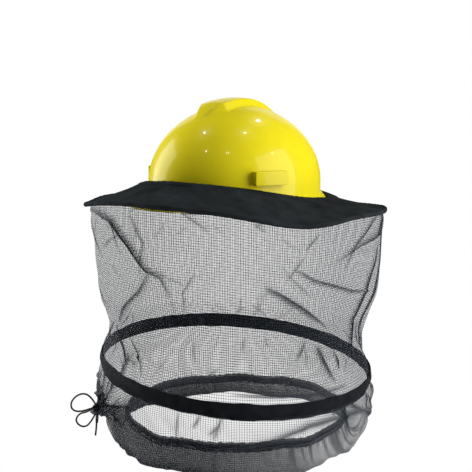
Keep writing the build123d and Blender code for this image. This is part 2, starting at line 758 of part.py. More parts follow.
def build_nodes():
    """Every node of the object, by name."""
    long_strap = crown_strap(STRAP_ANGLE, 0.0)
    cross_strap = crown_strap(180.0 - STRAP_ANGLE, STRAP_THICK + STRAP_STACK)
    nodes = {
        "helmet_shell": helmet_shell(),
        "headband": headband(),
        "brow_sweatband": brow_sweatband(),
        "crown_strap_upper": long_strap,
        "crown_strap_lower": cross_strap,
        "crown_pad": crown_pad(),
        "ratchet_housing": ratchet_housing(),
        "ratchet_cover": ratchet_cover(),
        "ratchet_knob": ratchet_knob(),
        "rack_left": rack(1),
        "rack_right": rack(-1),
        "nape_pad": nape_pad(),
        "brim_cover": brim_layer(0.0, COVER_FABRIC),
        "brim_stiffener": brim_layer(COVER_FABRIC, STIFFENER_FABRIC),
        "brim_lining": brim_layer(COVER_FABRIC + STIFFENER_FABRIC, LINING_FABRIC),
        "rim_wire": rim_frame() * Torus(RIM_RADIUS, RIM_WIRE_RADIUS),
        "rim_binding": rim_binding(),
        "elastic_casing": elastic_casing(),
        "elastic_band": elastic_band(),
        "upper_net": upper_net(),
        "net_seam": net_seam(),
        "hoop_wire": hoop_wire(),
        "hoop_ferrule": ferrule_block() - hoop_wire(),
        "hoop_tape": tape_block() - hoop_wire() - ferrule_block(),
        "tape_lap": tape_lap(),
        "skirt_net": skirt_net(),
        "hem_casing": hem_casing(),
        "hem_elastic": hem_elastic(),
        "draw_cord": draw_cord(),
        "draw_leads": draw_leads(),
        "cord_eyelet": cord_eyelet(),
        "draw_knot": draw_knot(),
        "bow_upper_loop": cord_tube("bow_upper_loop", UPPER_LOOP),
        "bow_lower_loop": cord_tube("bow_lower_loop", LOWER_LOOP),
        "bow_tail_one": cord_tube("bow_tail_one", TAIL_ONE),
        "bow_tail_two": cord_tube("bow_tail_two", TAIL_TWO),
    }
    key_angles = {
        "key_rear_left": STRAP_ANGLE,
        "key_rear_right": 180.0 - STRAP_ANGLE,
        "key_front_right": 180.0 + STRAP_ANGLE,
        "key_front_left": -STRAP_ANGLE,
    }
    for name, angle in key_angles.items():
        nodes[name] = strap_key(angle, (long_strap, cross_strap))
    return nodes


def main():
    os.makedirs("parts", exist_ok=True)
    for name, shape in build_nodes().items():
        export_step(shape, os.path.join("parts", name + ".step"))
        print(name, len(shape.solids()), "solids", round(shape.volume), "mm3")


if __name__ == "__main__":
    main()
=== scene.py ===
"""Round beekeeping veil on a safety helmet, dressed in cloth, net and moulded plastic.

Lengths are in metres. +Z is up, the wearer faces -Y and the wearer's left is +X.
"""
import math
import random

import bmesh
import bpy
import numpy as np
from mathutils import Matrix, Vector


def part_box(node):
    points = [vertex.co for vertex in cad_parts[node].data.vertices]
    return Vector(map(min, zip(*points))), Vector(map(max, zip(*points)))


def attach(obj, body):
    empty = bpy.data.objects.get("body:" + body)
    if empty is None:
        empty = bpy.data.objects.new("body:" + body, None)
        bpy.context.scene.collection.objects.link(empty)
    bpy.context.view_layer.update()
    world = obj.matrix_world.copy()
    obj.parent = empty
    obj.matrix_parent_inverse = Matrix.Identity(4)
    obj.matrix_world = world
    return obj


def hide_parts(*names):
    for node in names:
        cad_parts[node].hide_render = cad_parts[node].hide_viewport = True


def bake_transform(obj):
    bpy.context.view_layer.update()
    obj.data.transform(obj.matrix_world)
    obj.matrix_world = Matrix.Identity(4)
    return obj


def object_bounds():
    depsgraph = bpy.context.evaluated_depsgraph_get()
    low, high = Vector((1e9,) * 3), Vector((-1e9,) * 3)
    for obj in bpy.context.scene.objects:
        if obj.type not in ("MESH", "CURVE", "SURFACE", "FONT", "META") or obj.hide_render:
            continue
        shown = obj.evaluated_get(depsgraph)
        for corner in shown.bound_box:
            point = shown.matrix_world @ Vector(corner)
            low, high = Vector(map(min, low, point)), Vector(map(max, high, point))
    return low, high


bl_info = {
    "name": "Beekeeping Veil",
    "version": (1, 0, 0),
    "blender": (4, 5, 0),
    "location": "View3D > Sidebar > Veil",
    "description": "Builds the helmet, brim, net, hoop and draw cord of a beekeeping veil",
    "category": "Add Mesh",
}

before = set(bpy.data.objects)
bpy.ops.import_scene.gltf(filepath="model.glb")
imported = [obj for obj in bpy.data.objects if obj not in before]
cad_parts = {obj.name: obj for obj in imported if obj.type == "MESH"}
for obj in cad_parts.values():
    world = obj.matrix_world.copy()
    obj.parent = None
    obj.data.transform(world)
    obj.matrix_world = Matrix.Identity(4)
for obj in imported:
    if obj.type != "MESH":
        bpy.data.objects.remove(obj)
cad_low, cad_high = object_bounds()

MM = 0.001
TURN = 2 * math.pi


# ---------------------------------------------------------------- sizes read from the frame
def span(node):
    """Centre and half size of a CAD node."""
    low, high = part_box(node)
    low, high = np.array(low), np.array(high)
    return (low + high) / 2, (high - low) / 2


SHELL_MIDDLE, SHELL_HALF = span("helmet_shell")
WIRE_MIDDLE, WIRE_HALF = span("rim_wire")
CASING_MIDDLE, CASING_HALF = span("elastic_casing")
HOOP_MIDDLE, HOOP_HALF = span("hoop_wire")
HEM_MIDDLE, HEM_HALF = span("hem_casing")
KNOT_MIDDLE = span("draw_knot")[0]
BAND_HALF = span("headband")[1]

RIM_WIRE = 1.5 * MM
RIM_RADIUS = WIRE_HALF[0] - RIM_WIRE
RIM_SLOPE = math.asin((WIRE_HALF[2] - RIM_WIRE) / RIM_RADIUS)
HOOP_WIRE = 1.75 * MM
HOOP_RADIUS = HOOP_HALF[1] - HOOP_WIRE
HOOP_SLOPE = math.asin((HOOP_HALF[2] - HOOP_WIRE) / HOOP_RADIUS)
HOOP_Z = HOOP_MIDDLE[2]
TAPE_TALL = 20 * MM
TAPE_THICK = 6 * MM
WALL_HALF_X = 102.5 * MM
WALL_HALF_Y = 125 * MM
SHELL_BASE_Z = 32 * MM
FLARE_TOP = 20 * MM
FLARE_LOW = 8 * MM
SIDE_REACH = 8 * MM
BOW_TURN = math.atan2(KNOT_MIDDLE[1], KNOT_MIDDLE[0])
# Outward, sideways and upward at the bow.
BOW_AXES = np.array([
    [math.cos(BOW_TURN), math.sin(BOW_TURN), 0.0],
    [-math.sin(BOW_TURN), math.cos(BOW_TURN), 0.0],
    [0.0, 0.0, 1.0],
])


# ---------------------------------------------------------------- settings
class VeilSizes(bpy.types.PropertyGroup):
    """Sizes that a maker would change."""

    net_cell: bpy.props.FloatProperty(
        name="Net cell", description="Distance between neighbouring threads of the net",
        default=3.0 * MM, min=0.5 * MM, unit="LENGTH")
    net_thread: bpy.props.FloatProperty(
        name="Net thread", description="Width of one thread of the net",
        default=0.33 * MM, min=0.05 * MM, unit="LENGTH")
    net_thickness: bpy.props.FloatProperty(
        name="Net thickness", description="Thickness of the knitted net",
        default=0.3 * MM, min=0.1 * MM, unit="LENGTH")
    net_fold: bpy.props.FloatProperty(
        name="Net folds", description="How deep the folds of the hanging net are",
        default=9 * MM, min=0.0, unit="LENGTH")
    brim_wrinkle: bpy.props.FloatProperty(
        name="Brim wrinkles", description="How far the brim's cloth buckles out of its cone",
        default=1.3 * MM, min=0.0, unit="LENGTH")
    ridge_height: bpy.props.FloatProperty(
        name="Ridge height", description="Height of the raised band along the crown",
        default=9 * MM, min=0.0, unit="LENGTH")
    hem_gathers: bpy.props.IntProperty(
        name="Hem gathers", description="Number of pleats drawn in by the hem's elastic", default=74, min=8)


class VeilColours(bpy.types.PropertyGroup):
    """Colours of the finishes."""

    shell: bpy.props.FloatVectorProperty(
        name="Shell", description="Colour of the helmet's moulded shell",
        default=(0.86, 0.73, 0.012), size=3, min=0.0, max=1.0, subtype="COLOR")
    cloth: bpy.props.FloatVectorProperty(
        name="Brim cloth", description="Colour of the brim's cloth",
        default=(0.021, 0.024, 0.026), size=3, min=0.0, max=1.0, subtype="COLOR")
    # The net's colour is its near-black thread, with a blue tint that is partly painted light: the bluish
    # cast of the light on the net, painted into the thread's colour.
    net: bpy.props.FloatVectorProperty(
        name="Net", description="Colour of the net's thread",
        default=(0.022, 0.029, 0.040), size=3, min=0.0, max=1.0, subtype="COLOR")
    plastic: bpy.props.FloatVectorProperty(
        name="Suspension plastic", description="Colour of the headband and its ratchet",
        default=(0.022, 0.022, 0.024), size=3, min=0.0, max=1.0, subtype="COLOR")
    tape: bpy.props.FloatVectorProperty(
        name="Hoop tape", description="Colour of the tape round the hoop",
        default=(0.009, 0.0105, 0.013), size=3, min=0.0, max=1.0, subtype="COLOR")


def sizes():
    return bpy.context.scene.veil_sizes


def colours():
    return bpy.context.scene.veil_colours


# ---------------------------------------------------------------- mesh helpers
def show(name, data):
    """Links a new object that holds data."""
    made = bpy.data.objects.new(name, data)
    bpy.context.scene.collection.objects.link(made)
    return made


def grid_piece(name, points, around=True, texture=None, density=None):
    """A smooth quad sheet from an array of rows and columns; around joins the last column to the first."""
    rows, columns = points.shape[:2]
    spans = columns if around else columns - 1
    row, column = np.meshgrid(np.arange(rows - 1), np.arange(spans), indexing="ij")
    following = (column + 1) % columns
    corners = [(row, column), (row + 1, column), (row + 1, following), (row, following)]
    quads = np.stack([r * columns + c for r, c in corners], -1).reshape(-1, 4)
    mesh = bpy.data.meshes.new(name)
    mesh.vertices.add(rows * columns)
    mesh.vertices.foreach_set("co", points.astype(np.float32).reshape(-1))
    mesh.loops.add(quads.size)
    mesh.loops.foreach_set("vertex_index", quads.astype(np.int32).reshape(-1))
    mesh.polygons.add(len(quads))
    mesh.polygons.foreach_set("loop_start", np.arange(0, quads.size, 4, dtype=np.int32))
    mesh.update(calc_edges=True)
    mesh.polygons.foreach_set("use_smooth", np.ones(len(quads), bool))
    if texture is not None:
        steps = [(row, column), (row + 1, column), (row + 1, column + 1), (row, column + 1)]
        wide = np.stack([texture[r, c] for r, c in steps], 2).reshape(-1, 2)
        layer = mesh.uv_layers.new(name="UVMap")
        layer.data.foreach_set("uv", wide.astype(np.float32).reshape(-1))
    if density is not None:
        layers = mesh.attributes.new("layers", "FLOAT", "POINT")
        layers.data.foreach_set("value", density.astype(np.float32).reshape(-1))
    mesh.validate()
    return show(name, mesh)


def ring_texture(turns, lengths, radius):
    """Texture coordinates in metres for a ring sheet: round the ring, then along its profile."""
    wide = np.append(turns, turns[0] + TURN) * radius
    grid = np.zeros((len(lengths), len(wide), 2))
    grid[:, :, 0] = wide[None, :]
    grid[:, :, 1] = np.asarray(lengths)[:, None]
    return grid


def ring_turns(count):
    return np.arange(count) * TURN / count


def polar(radius, turns, height):
    """Points from radius, turn and height arrays."""
    radius, turns, height = np.broadcast_arrays(radius, turns, height)
    return np.stack([radius * np.cos(turns), radius * np.sin(turns), height], -1)


def thicken(piece, thickness, offset=0.0):
    """Gives a sheet its thickness."""
    solid = piece.modifiers.new("Thickness", "SOLIDIFY")
    solid.thickness = thickness
    solid.offset = offset
    solid.use_even_offset = False
    return piece


def weld_seam(piece):
    """Joins the first and last rows of a closed section."""
    weld = piece.modifiers.new("Weld", "WELD")
    weld.merge_threshold = 0.01 * MM
    return piece


def level_axes(turns):
    """Outward and upward directions at each turn of a level ring."""
    outward = polar(1.0, turns, 0.0)
    upward = np.zeros_like(outward)
    upward[:, 2] = 1.0
    return outward, upward


def tube_ring(name, centre, outward, upward, profile, texture_radius):
    """A closed ring from arrays round it: centre, outward and upward, with profile as its section."""
    rows = []
    lengths = [0.0]
    for index, (out, up) in enumerate(profile):
        rows.append(centre + outward * np.asarray(out)[..., None] + upward * np.asarray(up)[..., None])
        if index:
            lengths.append(lengths[-1] + float(np.linalg.norm(rows[-1] - rows[-2], axis=-1).mean()))
    rows.append(rows[0])
    lengths.append(lengths[-1] + float(np.linalg.norm(rows[-1] - rows[-2], axis=-1).mean()))
    points = np.stack(rows)
    turns = np.unwrap(np.arctan2(centre[:, 1], centre[:, 0]))
    return weld_seam(grid_piece(name, points, True, ring_texture(turns, lengths, texture_radius)))


def smooth_step(value):
    value = np.clip(value, 0.0, 1.0)
    return value * value * (3 - 2 * value)


def smoothed(values, width, **padding):
    """Evenly spaced values averaged over a window of that many steps."""
    kernel = np.hanning(width) / np.hanning(width).sum()
    return np.convolve(np.pad(values, width // 2, **padding), kernel, mode="valid")


def rounded(value, power):
    """A sine or cosine raised to a power with its sign kept, which squares off a round section."""
    return np.sign(value) * abs(value) ** power


def turned_from(turns, middle):
    """Signed angle from the middle, at most half a turn either way."""
    return (turns - middle + math.pi) % TURN - math.pi


def ring_noise(turns, waves, seed):
    """Smooth noise round a ring: a few whole numbers of waves with seeded phases, from -1 to 1."""
    rng = random.Random(seed)
    total = np.zeros_like(turns, dtype=float)
    weight = 0.0
    for count in waves:
        share = rng.uniform(0.6, 1.0)
        total += share * np.sin(count * turns + rng.uniform(0, TURN))
        weight += share
    return total / weight


def ring_value(turns, table):
    """Smooth value round a ring from a table of (degrees, value) pairs in rising order."""
    degrees = np.array([row[0] for row in table], float)
    values = np.array([row[1] for row in table], float)
    degrees = np.concatenate([degrees - 360, degrees, degrees + 360])
    values = np.tile(values, 3)
    fine = np.arange(-360, 721)
    soft = smoothed(np.interp(fine, degrees, values), 17, mode="edge")
    return np.interp(np.degrees(turns) % 360, fine, soft)


def wall_reach(turns, half_x, half_y):
    """Distance from the axis to an ellipse, at each turn."""
    return 1.0 / np.hypot(np.cos(turns) / half_x, np.sin(turns) / half_y)


def hoop_height(x):
    """Height of the hoop's middle plane at x."""
    return HOOP_Z - math.tan(HOOP_SLOPE) * x


# ---------------------------------------------------------------- node helpers
def node(tree, kind, inputs=None, **settings):
    made = tree.nodes.new("ShaderNode" + kind)
    for key, value in settings.items():
        setattr(made, key, value)
    for key, value in (inputs or {}).items():
        if isinstance(value, bpy.types.NodeSocket):
            tree.links.new(value, made.inputs[key])
        else:
            made.inputs[key].default_value = value
    return made


def calc(tree, operation, *values):
    inputs = {index: value for index, value in enumerate(values)}
    return node(tree, "Math", inputs, operation=operation).outputs[0]


def finish_material(name, colour, roughness, **sockets):
    """A new material; values that are the same everywhere go on the shader's own sockets."""
    material = bpy.data.materials.new(name)
    material.use_nodes = True
    tree = material.node_tree
    shader = tree.nodes["Principled BSDF"]
    shader.inputs["Base Color"].default_value = (*colour, 1.0)
    shader.inputs["Roughness"].default_value = roughness
    for key, value in sockets.items():
        shader.inputs[key.replace("_", " ")].default_value = value
    return material, tree, shader


def object_place(tree):
    return node(tree, "TexCoord").outputs["Object"]


def sheet_place(tree):
    return node(tree, "UVMap", uv_map="UVMap").outputs["UV"]


def noise(tree, place, scale, detail=3.0, roughness=0.55):
    return node(tree, "TexNoise", {"Vector": place, "Scale": scale, "Detail": detail, "Roughness": roughness}
                ).outputs["Fac"]


def vary_colour(tree, shader, factor, dark, light):
    ramp = node(tree, "MapRange", {"Value": factor, "From Min": 0.3, "From Max": 0.7})
    ends = {"Factor": ramp.outputs[0], "A": (*dark, 1.0), "B": (*light, 1.0)}
    mix = node(tree, "Mix", ends, data_type="RGBA")
    result = [socket for socket in mix.outputs if socket.type == "RGBA"][0]
    tree.links.new(result, shader.inputs["Base Color"])


def vary_roughness(tree, shader, factor, low, high):
    limits = {"Value": factor, "From Min": 0.25, "From Max": 0.75, "To Min": low, "To Max": high}
    spread = node(tree, "MapRange", limits)
    tree.links.new(spread.outputs[0], shader.inputs["Roughness"])


def raise_surface(tree, shader, height, distance, strength=1.0):
    bump = node(tree, "Bump", {"Height": height, "Distance": distance, "Strength": strength})
    tree.links.new(bump.outputs[0], shader.inputs["Normal"])


def camera_mix(tree, lit, seen):
    """One shader for the light that a surface gives, and another for what the camera sees."""
    ray = node(tree, "LightPath").outputs["Is Camera Ray"]
    return node(tree, "MixShader", {0: ray, 1: lit.outputs[0], 2: seen.outputs[0]}).outputs[0]


def scaled(tree, place, x, y, z=1.0):
    return node(tree, "Mapping", {"Vector": place, "Scale": (x, y, z)}).outputs[0]


def split(tree, place):
    parts = node(tree, "SeparateXYZ", {"Vector": place})
    return parts.outputs[0], parts.outputs[1], parts.outputs[2]


def shade(colour, amount):
    return tuple(min(1.0, max(0.0, channel * amount)) for channel in colour)


def weave_height(tree, place, pitch, diagonal=False):
    """A plain or twill weave of the given thread pitch, from texture coordinates in metres."""
    across, along, _ = split(tree, place)
    if diagonal:
        slanted = calc(tree, "SUBTRACT", along, calc(tree, "MULTIPLY", across, 0.2))
        across, along = calc(tree, "ADD", across, along), slanted
    turn = TURN / pitch
    first = calc(tree, "SINE", calc(tree, "MULTIPLY", across, turn))
    second = calc(tree, "SINE", calc(tree, "MULTIPLY", along, turn))
    if diagonal:
        return calc(tree, "MULTIPLY_ADD", second, 0.25, first)
    return calc(tree, "MULTIPLY", first, second)


# ---------------------------------------------------------------- finishes
def shell_plastic():
    base = tuple(colours().shell)
    material, tree, shader = finish_material(
        "yellow_shell", base, 0.3, Coat_Weight=0.2, Coat_Roughness=0.03, Specular_IOR_Level=0.08)
    place = object_place(tree)
    vary_colour(tree, shader, noise(tree, place, 9.0), shade(base, 0.95), shade(base, 1.03))
    vary_roughness(tree, shader, noise(tree, place, 60.0, 5.0), 0.26, 0.36)
    orange_peel = noise(tree, place, 420.0, 2.0)
    scuffs = noise(tree, scaled(tree, place, 40.0, 900.0, 300.0), 1.0, 4.0)
    raise_surface(tree, shader, calc(tree, "MULTIPLY_ADD", scuffs, 0.35, orange_peel), 0.02 * MM, 0.5)
    return material


def suspension_plastic():
    base = tuple(colours().plastic)
    material, tree, shader = finish_material("black_plastic", base, 0.5)
    place = object_place(tree)
    vary_colour(tree, shader, noise(tree, place, 30.0), shade(base, 0.8), shade(base, 1.3))
    vary_roughness(tree, shader, noise(tree, place, 90.0), 0.42, 0.6)
    raise_surface(tree, shader, noise(tree, place, 1600.0, 2.0), 0.04 * MM, 0.6)
    return material


def brim_satin():
    base = tuple(colours().cloth)
    material, tree, shader = finish_material("brim_cloth", base, 0.5, Specular_IOR_Level=0.0)
    place = object_place(tree)
    cloth = sheet_place(tree)
    vary_colour(tree, shader, noise(tree, place, 35.0), shade(base, 0.75), shade(base, 1.5))
    vary_roughness(tree, shader, noise(tree, place, 50.0), 0.42, 0.58)
    thread = weave_height(tree, cloth, 0.8 * MM, diagonal=True)
    crumple = noise(tree, place, 40.0, 3.0)
    raise_surface(tree, shader, calc(tree, "MULTIPLY_ADD", crumple, 60.0, thread), 0.01 * MM, 0.5)
    return material


def hoop_twill():
    base = tuple(colours().tape)
    material, tree, shader = finish_material("hoop_tape", base, 0.7, Specular_IOR_Level=0.05)
    place = object_place(tree)
    vary_colour(tree, shader, noise(tree, place, 70.0), shade(base, 0.7), shade(base, 1.6))
    rib = weave_height(tree, sheet_place(tree), 1.1 * MM, diagonal=True)
    crease = noise(tree, place, 160.0, 4.0)
    raise_surface(tree, shader, calc(tree, "MULTIPLY_ADD", crease, 3.0, rib), 0.12 * MM, 0.8)
    return material


def thread_mask(tree, place, cell, thread, shift=0.0, lean=0.0):
    """1 on the threads of a square net and 0 in its holes."""
    across, along, _ = split(tree, place)
    masks = []
    for one, other in ((across, along), (along, across)):
        slant = lean if one is across else -lean
        line = calc(tree, "ADD", calc(tree, "MULTIPLY_ADD", other, slant, one), shift)
        away = calc(tree, "PINGPONG", line, cell / 2)
        edge = node(tree, "MapRange", {
            "Value": away, "From Min": thread * 0.3, "From Max": thread * 0.7, "To Min": 1.0, "To Max": 0.0})
        masks.append(edge.outputs[0])
    return calc(tree, "MAXIMUM", *masks)


def net_finish(name, cell, thread, haze, colour):
    """Open net: threads stay and holes are cut away; where the net lies in layers, more threads show."""
    material, tree, shader = finish_material(name, colour, 0.6, Specular_IOR_Level=0.3)
    place = sheet_place(tree)
    mask = thread_mask(tree, place, cell, thread)
    layers = node(tree, "Attribute", attribute_name="layers").outputs["Fac"]
    second = thread_mask(tree, place, cell * 0.93, thread, cell * 0.37, 0.18)
    third = thread_mask(tree, place, cell * 1.07, thread, cell * 0.71, -0.27)
    more = node(tree, "MapRange", {"Value": layers, "From Min": 0.12, "From Max": 0.5}).outputs[0]
    most = node(tree, "MapRange", {"Value": layers, "From Min": 0.4, "From Max": 1.0}).outputs[0]
    cover = calc(tree, "MAXIMUM", mask, calc(tree, "MULTIPLY", second, more))
    cover = calc(tree, "MAXIMUM", cover, calc(tree, "MULTIPLY", third, most))
    solid = calc(tree, "MULTIPLY_ADD", layers, 0.72, haze)
    patches = noise(tree, object_place(tree), 45.0)
    vary_colour(tree, shader, patches, shade(colour, 0.8), shade(colour, 1.4))
    tree.links.new(calc(tree, "MINIMUM", calc(tree, "MAXIMUM", cover, solid), 1.0), shader.inputs["Alpha"])
    raise_surface(tree, shader, mask, 0.15 * MM, 0.6)
    return material


def open_net():
    return net_finish("net", sizes().net_cell, sizes().net_thread, 0.06, tuple(colours().net))


def folded_net():
    return net_finish("seam_tape", sizes().net_cell * 0.55, sizes().net_thread, 0.6, tuple(colours().net))


def cord_braid():
    base = (0.011, 0.011, 0.012)
    material, tree, shader = finish_material("draw_cord", base, 0.6, Sheen_Weight=0.2)
    place = object_place(tree)
    vary_colour(tree, shader, noise(tree, place, 300.0), shade(base, 0.6), shade(base, 2.0))
    plait = node(tree, "TexWave", {"Vector": place, "Scale": 480.0, "Distortion": 1.5, "Detail": 1.0},
                 bands_direction="DIAGONAL").outputs["Fac"]
    raise_surface(tree, shader, plait, 0.25 * MM, 0.8)
    return material


def ribbed_webbing(name, base, pitch):
    material, tree, shader = finish_material(name, base, 0.75, Sheen_Weight=0.15)
    place = object_place(tree)
    vary_colour(tree, shader, noise(tree, place, 120.0), shade(base, 0.7), shade(base, 1.4))
    raise_surface(tree, shader, weave_height(tree, sheet_place(tree), pitch), 0.2 * MM, 0.8)
    return material


def terry_foam():
    base = (0.06, 0.06, 0.065)
    material, tree, shader = finish_material("soft_padding", base, 0.9, Sheen_Weight=0.35)
    place = object_place(tree)
    vary_colour(tree, shader, noise(tree, place, 200.0), shade(base, 0.6), shade(base, 1.5))
    loops = node(tree, "TexVoronoi", {"Vector": place, "Scale": 900.0}).outputs["Distance"]
    raise_surface(tree, shader, loops, 0.4 * MM, 0.8)
    return material


def felt():
    base = (0.09, 0.09, 0.09)
    material, tree, shader = finish_material("stiffener_felt", base, 0.95)
    place = object_place(tree)
    vary_colour(tree, shader, noise(tree, place, 500.0), shade(base, 0.6), shade(base, 1.4))
    raise_surface(tree, shader, noise(tree, place, 1400.0), 0.1 * MM)
    return material


def drawn_steel():
    base = (0.55, 0.55, 0.56)
    material, tree, shader = finish_material("steel_wire", base, 0.3, Metallic=1.0)
    place = object_place(tree)
    vary_colour(tree, shader, noise(tree, place, 60.0), shade(base, 0.85), shade(base, 1.1))
    vary_roughness(tree, shader, noise(tree, place, 500.0), 0.22, 0.42)
    raise_surface(tree, shader, noise(tree, scaled(tree, place, 200.0, 200.0, 2500.0), 1.0), 0.02 * MM, 0.5)
    return material


MATERIALS = {}


def finish(name):
    """The material of that name, made once."""
    makers = {
        "yellow_shell": shell_plastic,
        "black_plastic": suspension_plastic,
        "brim_cloth": brim_satin,
        "hoop_tape": hoop_twill,
        "net": open_net,
        "seam_tape": folded_net,
        "draw_cord": cord_braid,
        "webbing": lambda: ribbed_webbing("webbing", (0.04, 0.04, 0.045), 1.6 * MM),
        "elastic": lambda: ribbed_webbing("elastic", (0.55, 0.55, 0.52), 1.0 * MM),
        "soft_padding": terry_foam,
        "stiffener_felt": felt,
        "steel_wire": drawn_steel,
    }
    if name not in MATERIALS:
        MATERIALS[name] = makers[name]()
    return MATERIALS[name]


def dress(piece, name):
    """Gives a piece its finish and names its slot in the record."""
    piece.data.materials.clear()
    piece.data.materials.append(finish(name))
    return piece


def dress_frame_node(name, material):
    """Gives a CAD node a better finish, and leaves its shape alone."""
    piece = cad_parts[name]
    for slot in piece.material_slots:
        slot.material = finish(material)
    if not piece.material_slots:
        piece.data.materials.append(finish(material))


# ---------------------------------------------------------------- stage
class VEIL_OT_stage(bpy.types.Operator):
    """Builds the floor, the lights and the camera"""

    bl_idname = "veil.stage"
    bl_label = "Stage"

    CAMERA_TURN = 42.0
    CAMERA_AWAY = 1.2
    CAMERA_HEIGHT = 0.126
    CAMERA_PITCH = 7.9
    LENS = 69.4
    FLOOR_GAP = 1 * MM
    WHITE = (1.0, 1.0, 1.0, 1.0)
    BOX_AIM = 0.02
    SPARK_AIM = 0.08
    SPARK_AWAY = 1.6
    SPARK_SIZE = 0.08
    # Small lamps round the helmet: towards the camera, to its right, up, power.
    SPARKS = [(-0.06, -0.32, 0.95, 3.4), (0.04, 0.34, 0.94, 3.4), (-0.46, 0.36, 0.81, 2.2),
              (0.54, -0.31, 0.79, 1.1), (0.64, 0.14, 0.76, 1.0), (0.17, 0.81, 0.56, 0.5)]

    def lamp(self, name, shape, size, power, place, aim_height):
        """An area lamp turned towards a point on the helmet's axis."""
        data = bpy.data.lights.new(name, "AREA")
        data.shape = shape
        data.size, data.size_y = size
        data.energy = power
        made = show(name, data)
        made.location = place
        aim = Vector((0.0, 0.0, aim_height)) - made.location
        made.rotation_euler = aim.to_track_quat("-Z", "Y").to_euler()

    def soft_box(self, name, turn, away, height, wide, tall, power):
        angle = math.radians(turn)
        place = (away * math.sin(angle), -away * math.cos(angle), height)
        self.lamp(name, "RECTANGLE", (wide, tall), power, place, self.BOX_AIM)

    def execute(self, context):
        turn = math.radians(self.CAMERA_TURN)
        data = bpy.data.cameras.new("camera")
        data.lens = self.LENS
        data.sensor_width = 36.0
        data.clip_start = 0.01
        camera = show("camera", data)
        away = self.CAMERA_AWAY
        camera.location = (away * math.sin(turn), -away * math.cos(turn), self.CAMERA_HEIGHT)
        camera.rotation_euler = (math.radians(90.0 - self.CAMERA_PITCH), 0.0, turn)
        context.scene.camera = camera

        turns = ring_turns(64)
        reach = np.linspace(0.001, 30.0, 12)[:, None]
        floor = grid_piece("floor", polar(reach, turns[None, :], cad_low[2] - self.FLOOR_GAP))
        material = bpy.data.materials.new("floor_paint")
        material.use_nodes = True
        tree = material.node_tree
        shader = tree.nodes["Principled BSDF"]
        shader.inputs["Base Color"].default_value = (0.85, 0.85, 0.85, 1.0)
        vary_roughness(tree, shader, noise(tree, object_place(tree), 4.0), 0.85, 0.95)
        glow = node(tree, "Emission", {"Color": self.WHITE, "Strength": 1.0})
        tree.links.new(camera_mix(tree, shader, glow), tree.nodes["Material Output"].inputs[0])
        floor.data.materials.append(material)

        world = bpy.data.worlds.new("studio")
        context.scene.world = world
        world.use_nodes = True
        tree = world.node_tree
        tree.nodes.clear()
        seen = node(tree, "Background", {"Color": self.WHITE, "Strength": 1.0})
        fill = node(tree, "Background", {"Color": self.WHITE, "Strength": 0.05})
        node(tree, "OutputWorld", {0: camera_mix(tree, fill, seen)})

        self.soft_box("box_left", self.CAMERA_TURN - 108.0, 1.1, 0.22, 0.8, 1.2, 16.0)
        self.soft_box("box_right", self.CAMERA_TURN + 72.0, 1.1, 0.22, 0.9, 1.2, 15.0)
        self.soft_box("box_back", self.CAMERA_TURN + 180.0, 1.5, 0.6, 1.4, 1.0, 4.0)
        toward = np.array([math.sin(turn), -math.cos(turn), 0.0])
        right = np.array([math.cos(turn), math.sin(turn), 0.0])
        for index, (near, side, up, power) in enumerate(self.SPARKS):
            ray = toward * near + right * side + np.array([0.0, 0.0, up])
            place = ray * self.SPARK_AWAY + np.array([0.0, 0.0, self.SPARK_AIM])
            size = (self.SPARK_SIZE, self.SPARK_SIZE)
            self.lamp("spark_%d" % index, "DISK", size, power, place, self.SPARK_AIM)
        context.scene.view_settings.view_transform = "Standard"
        context.scene.cycles.transparent_max_bounces = 48
        return {"FINISHED"}


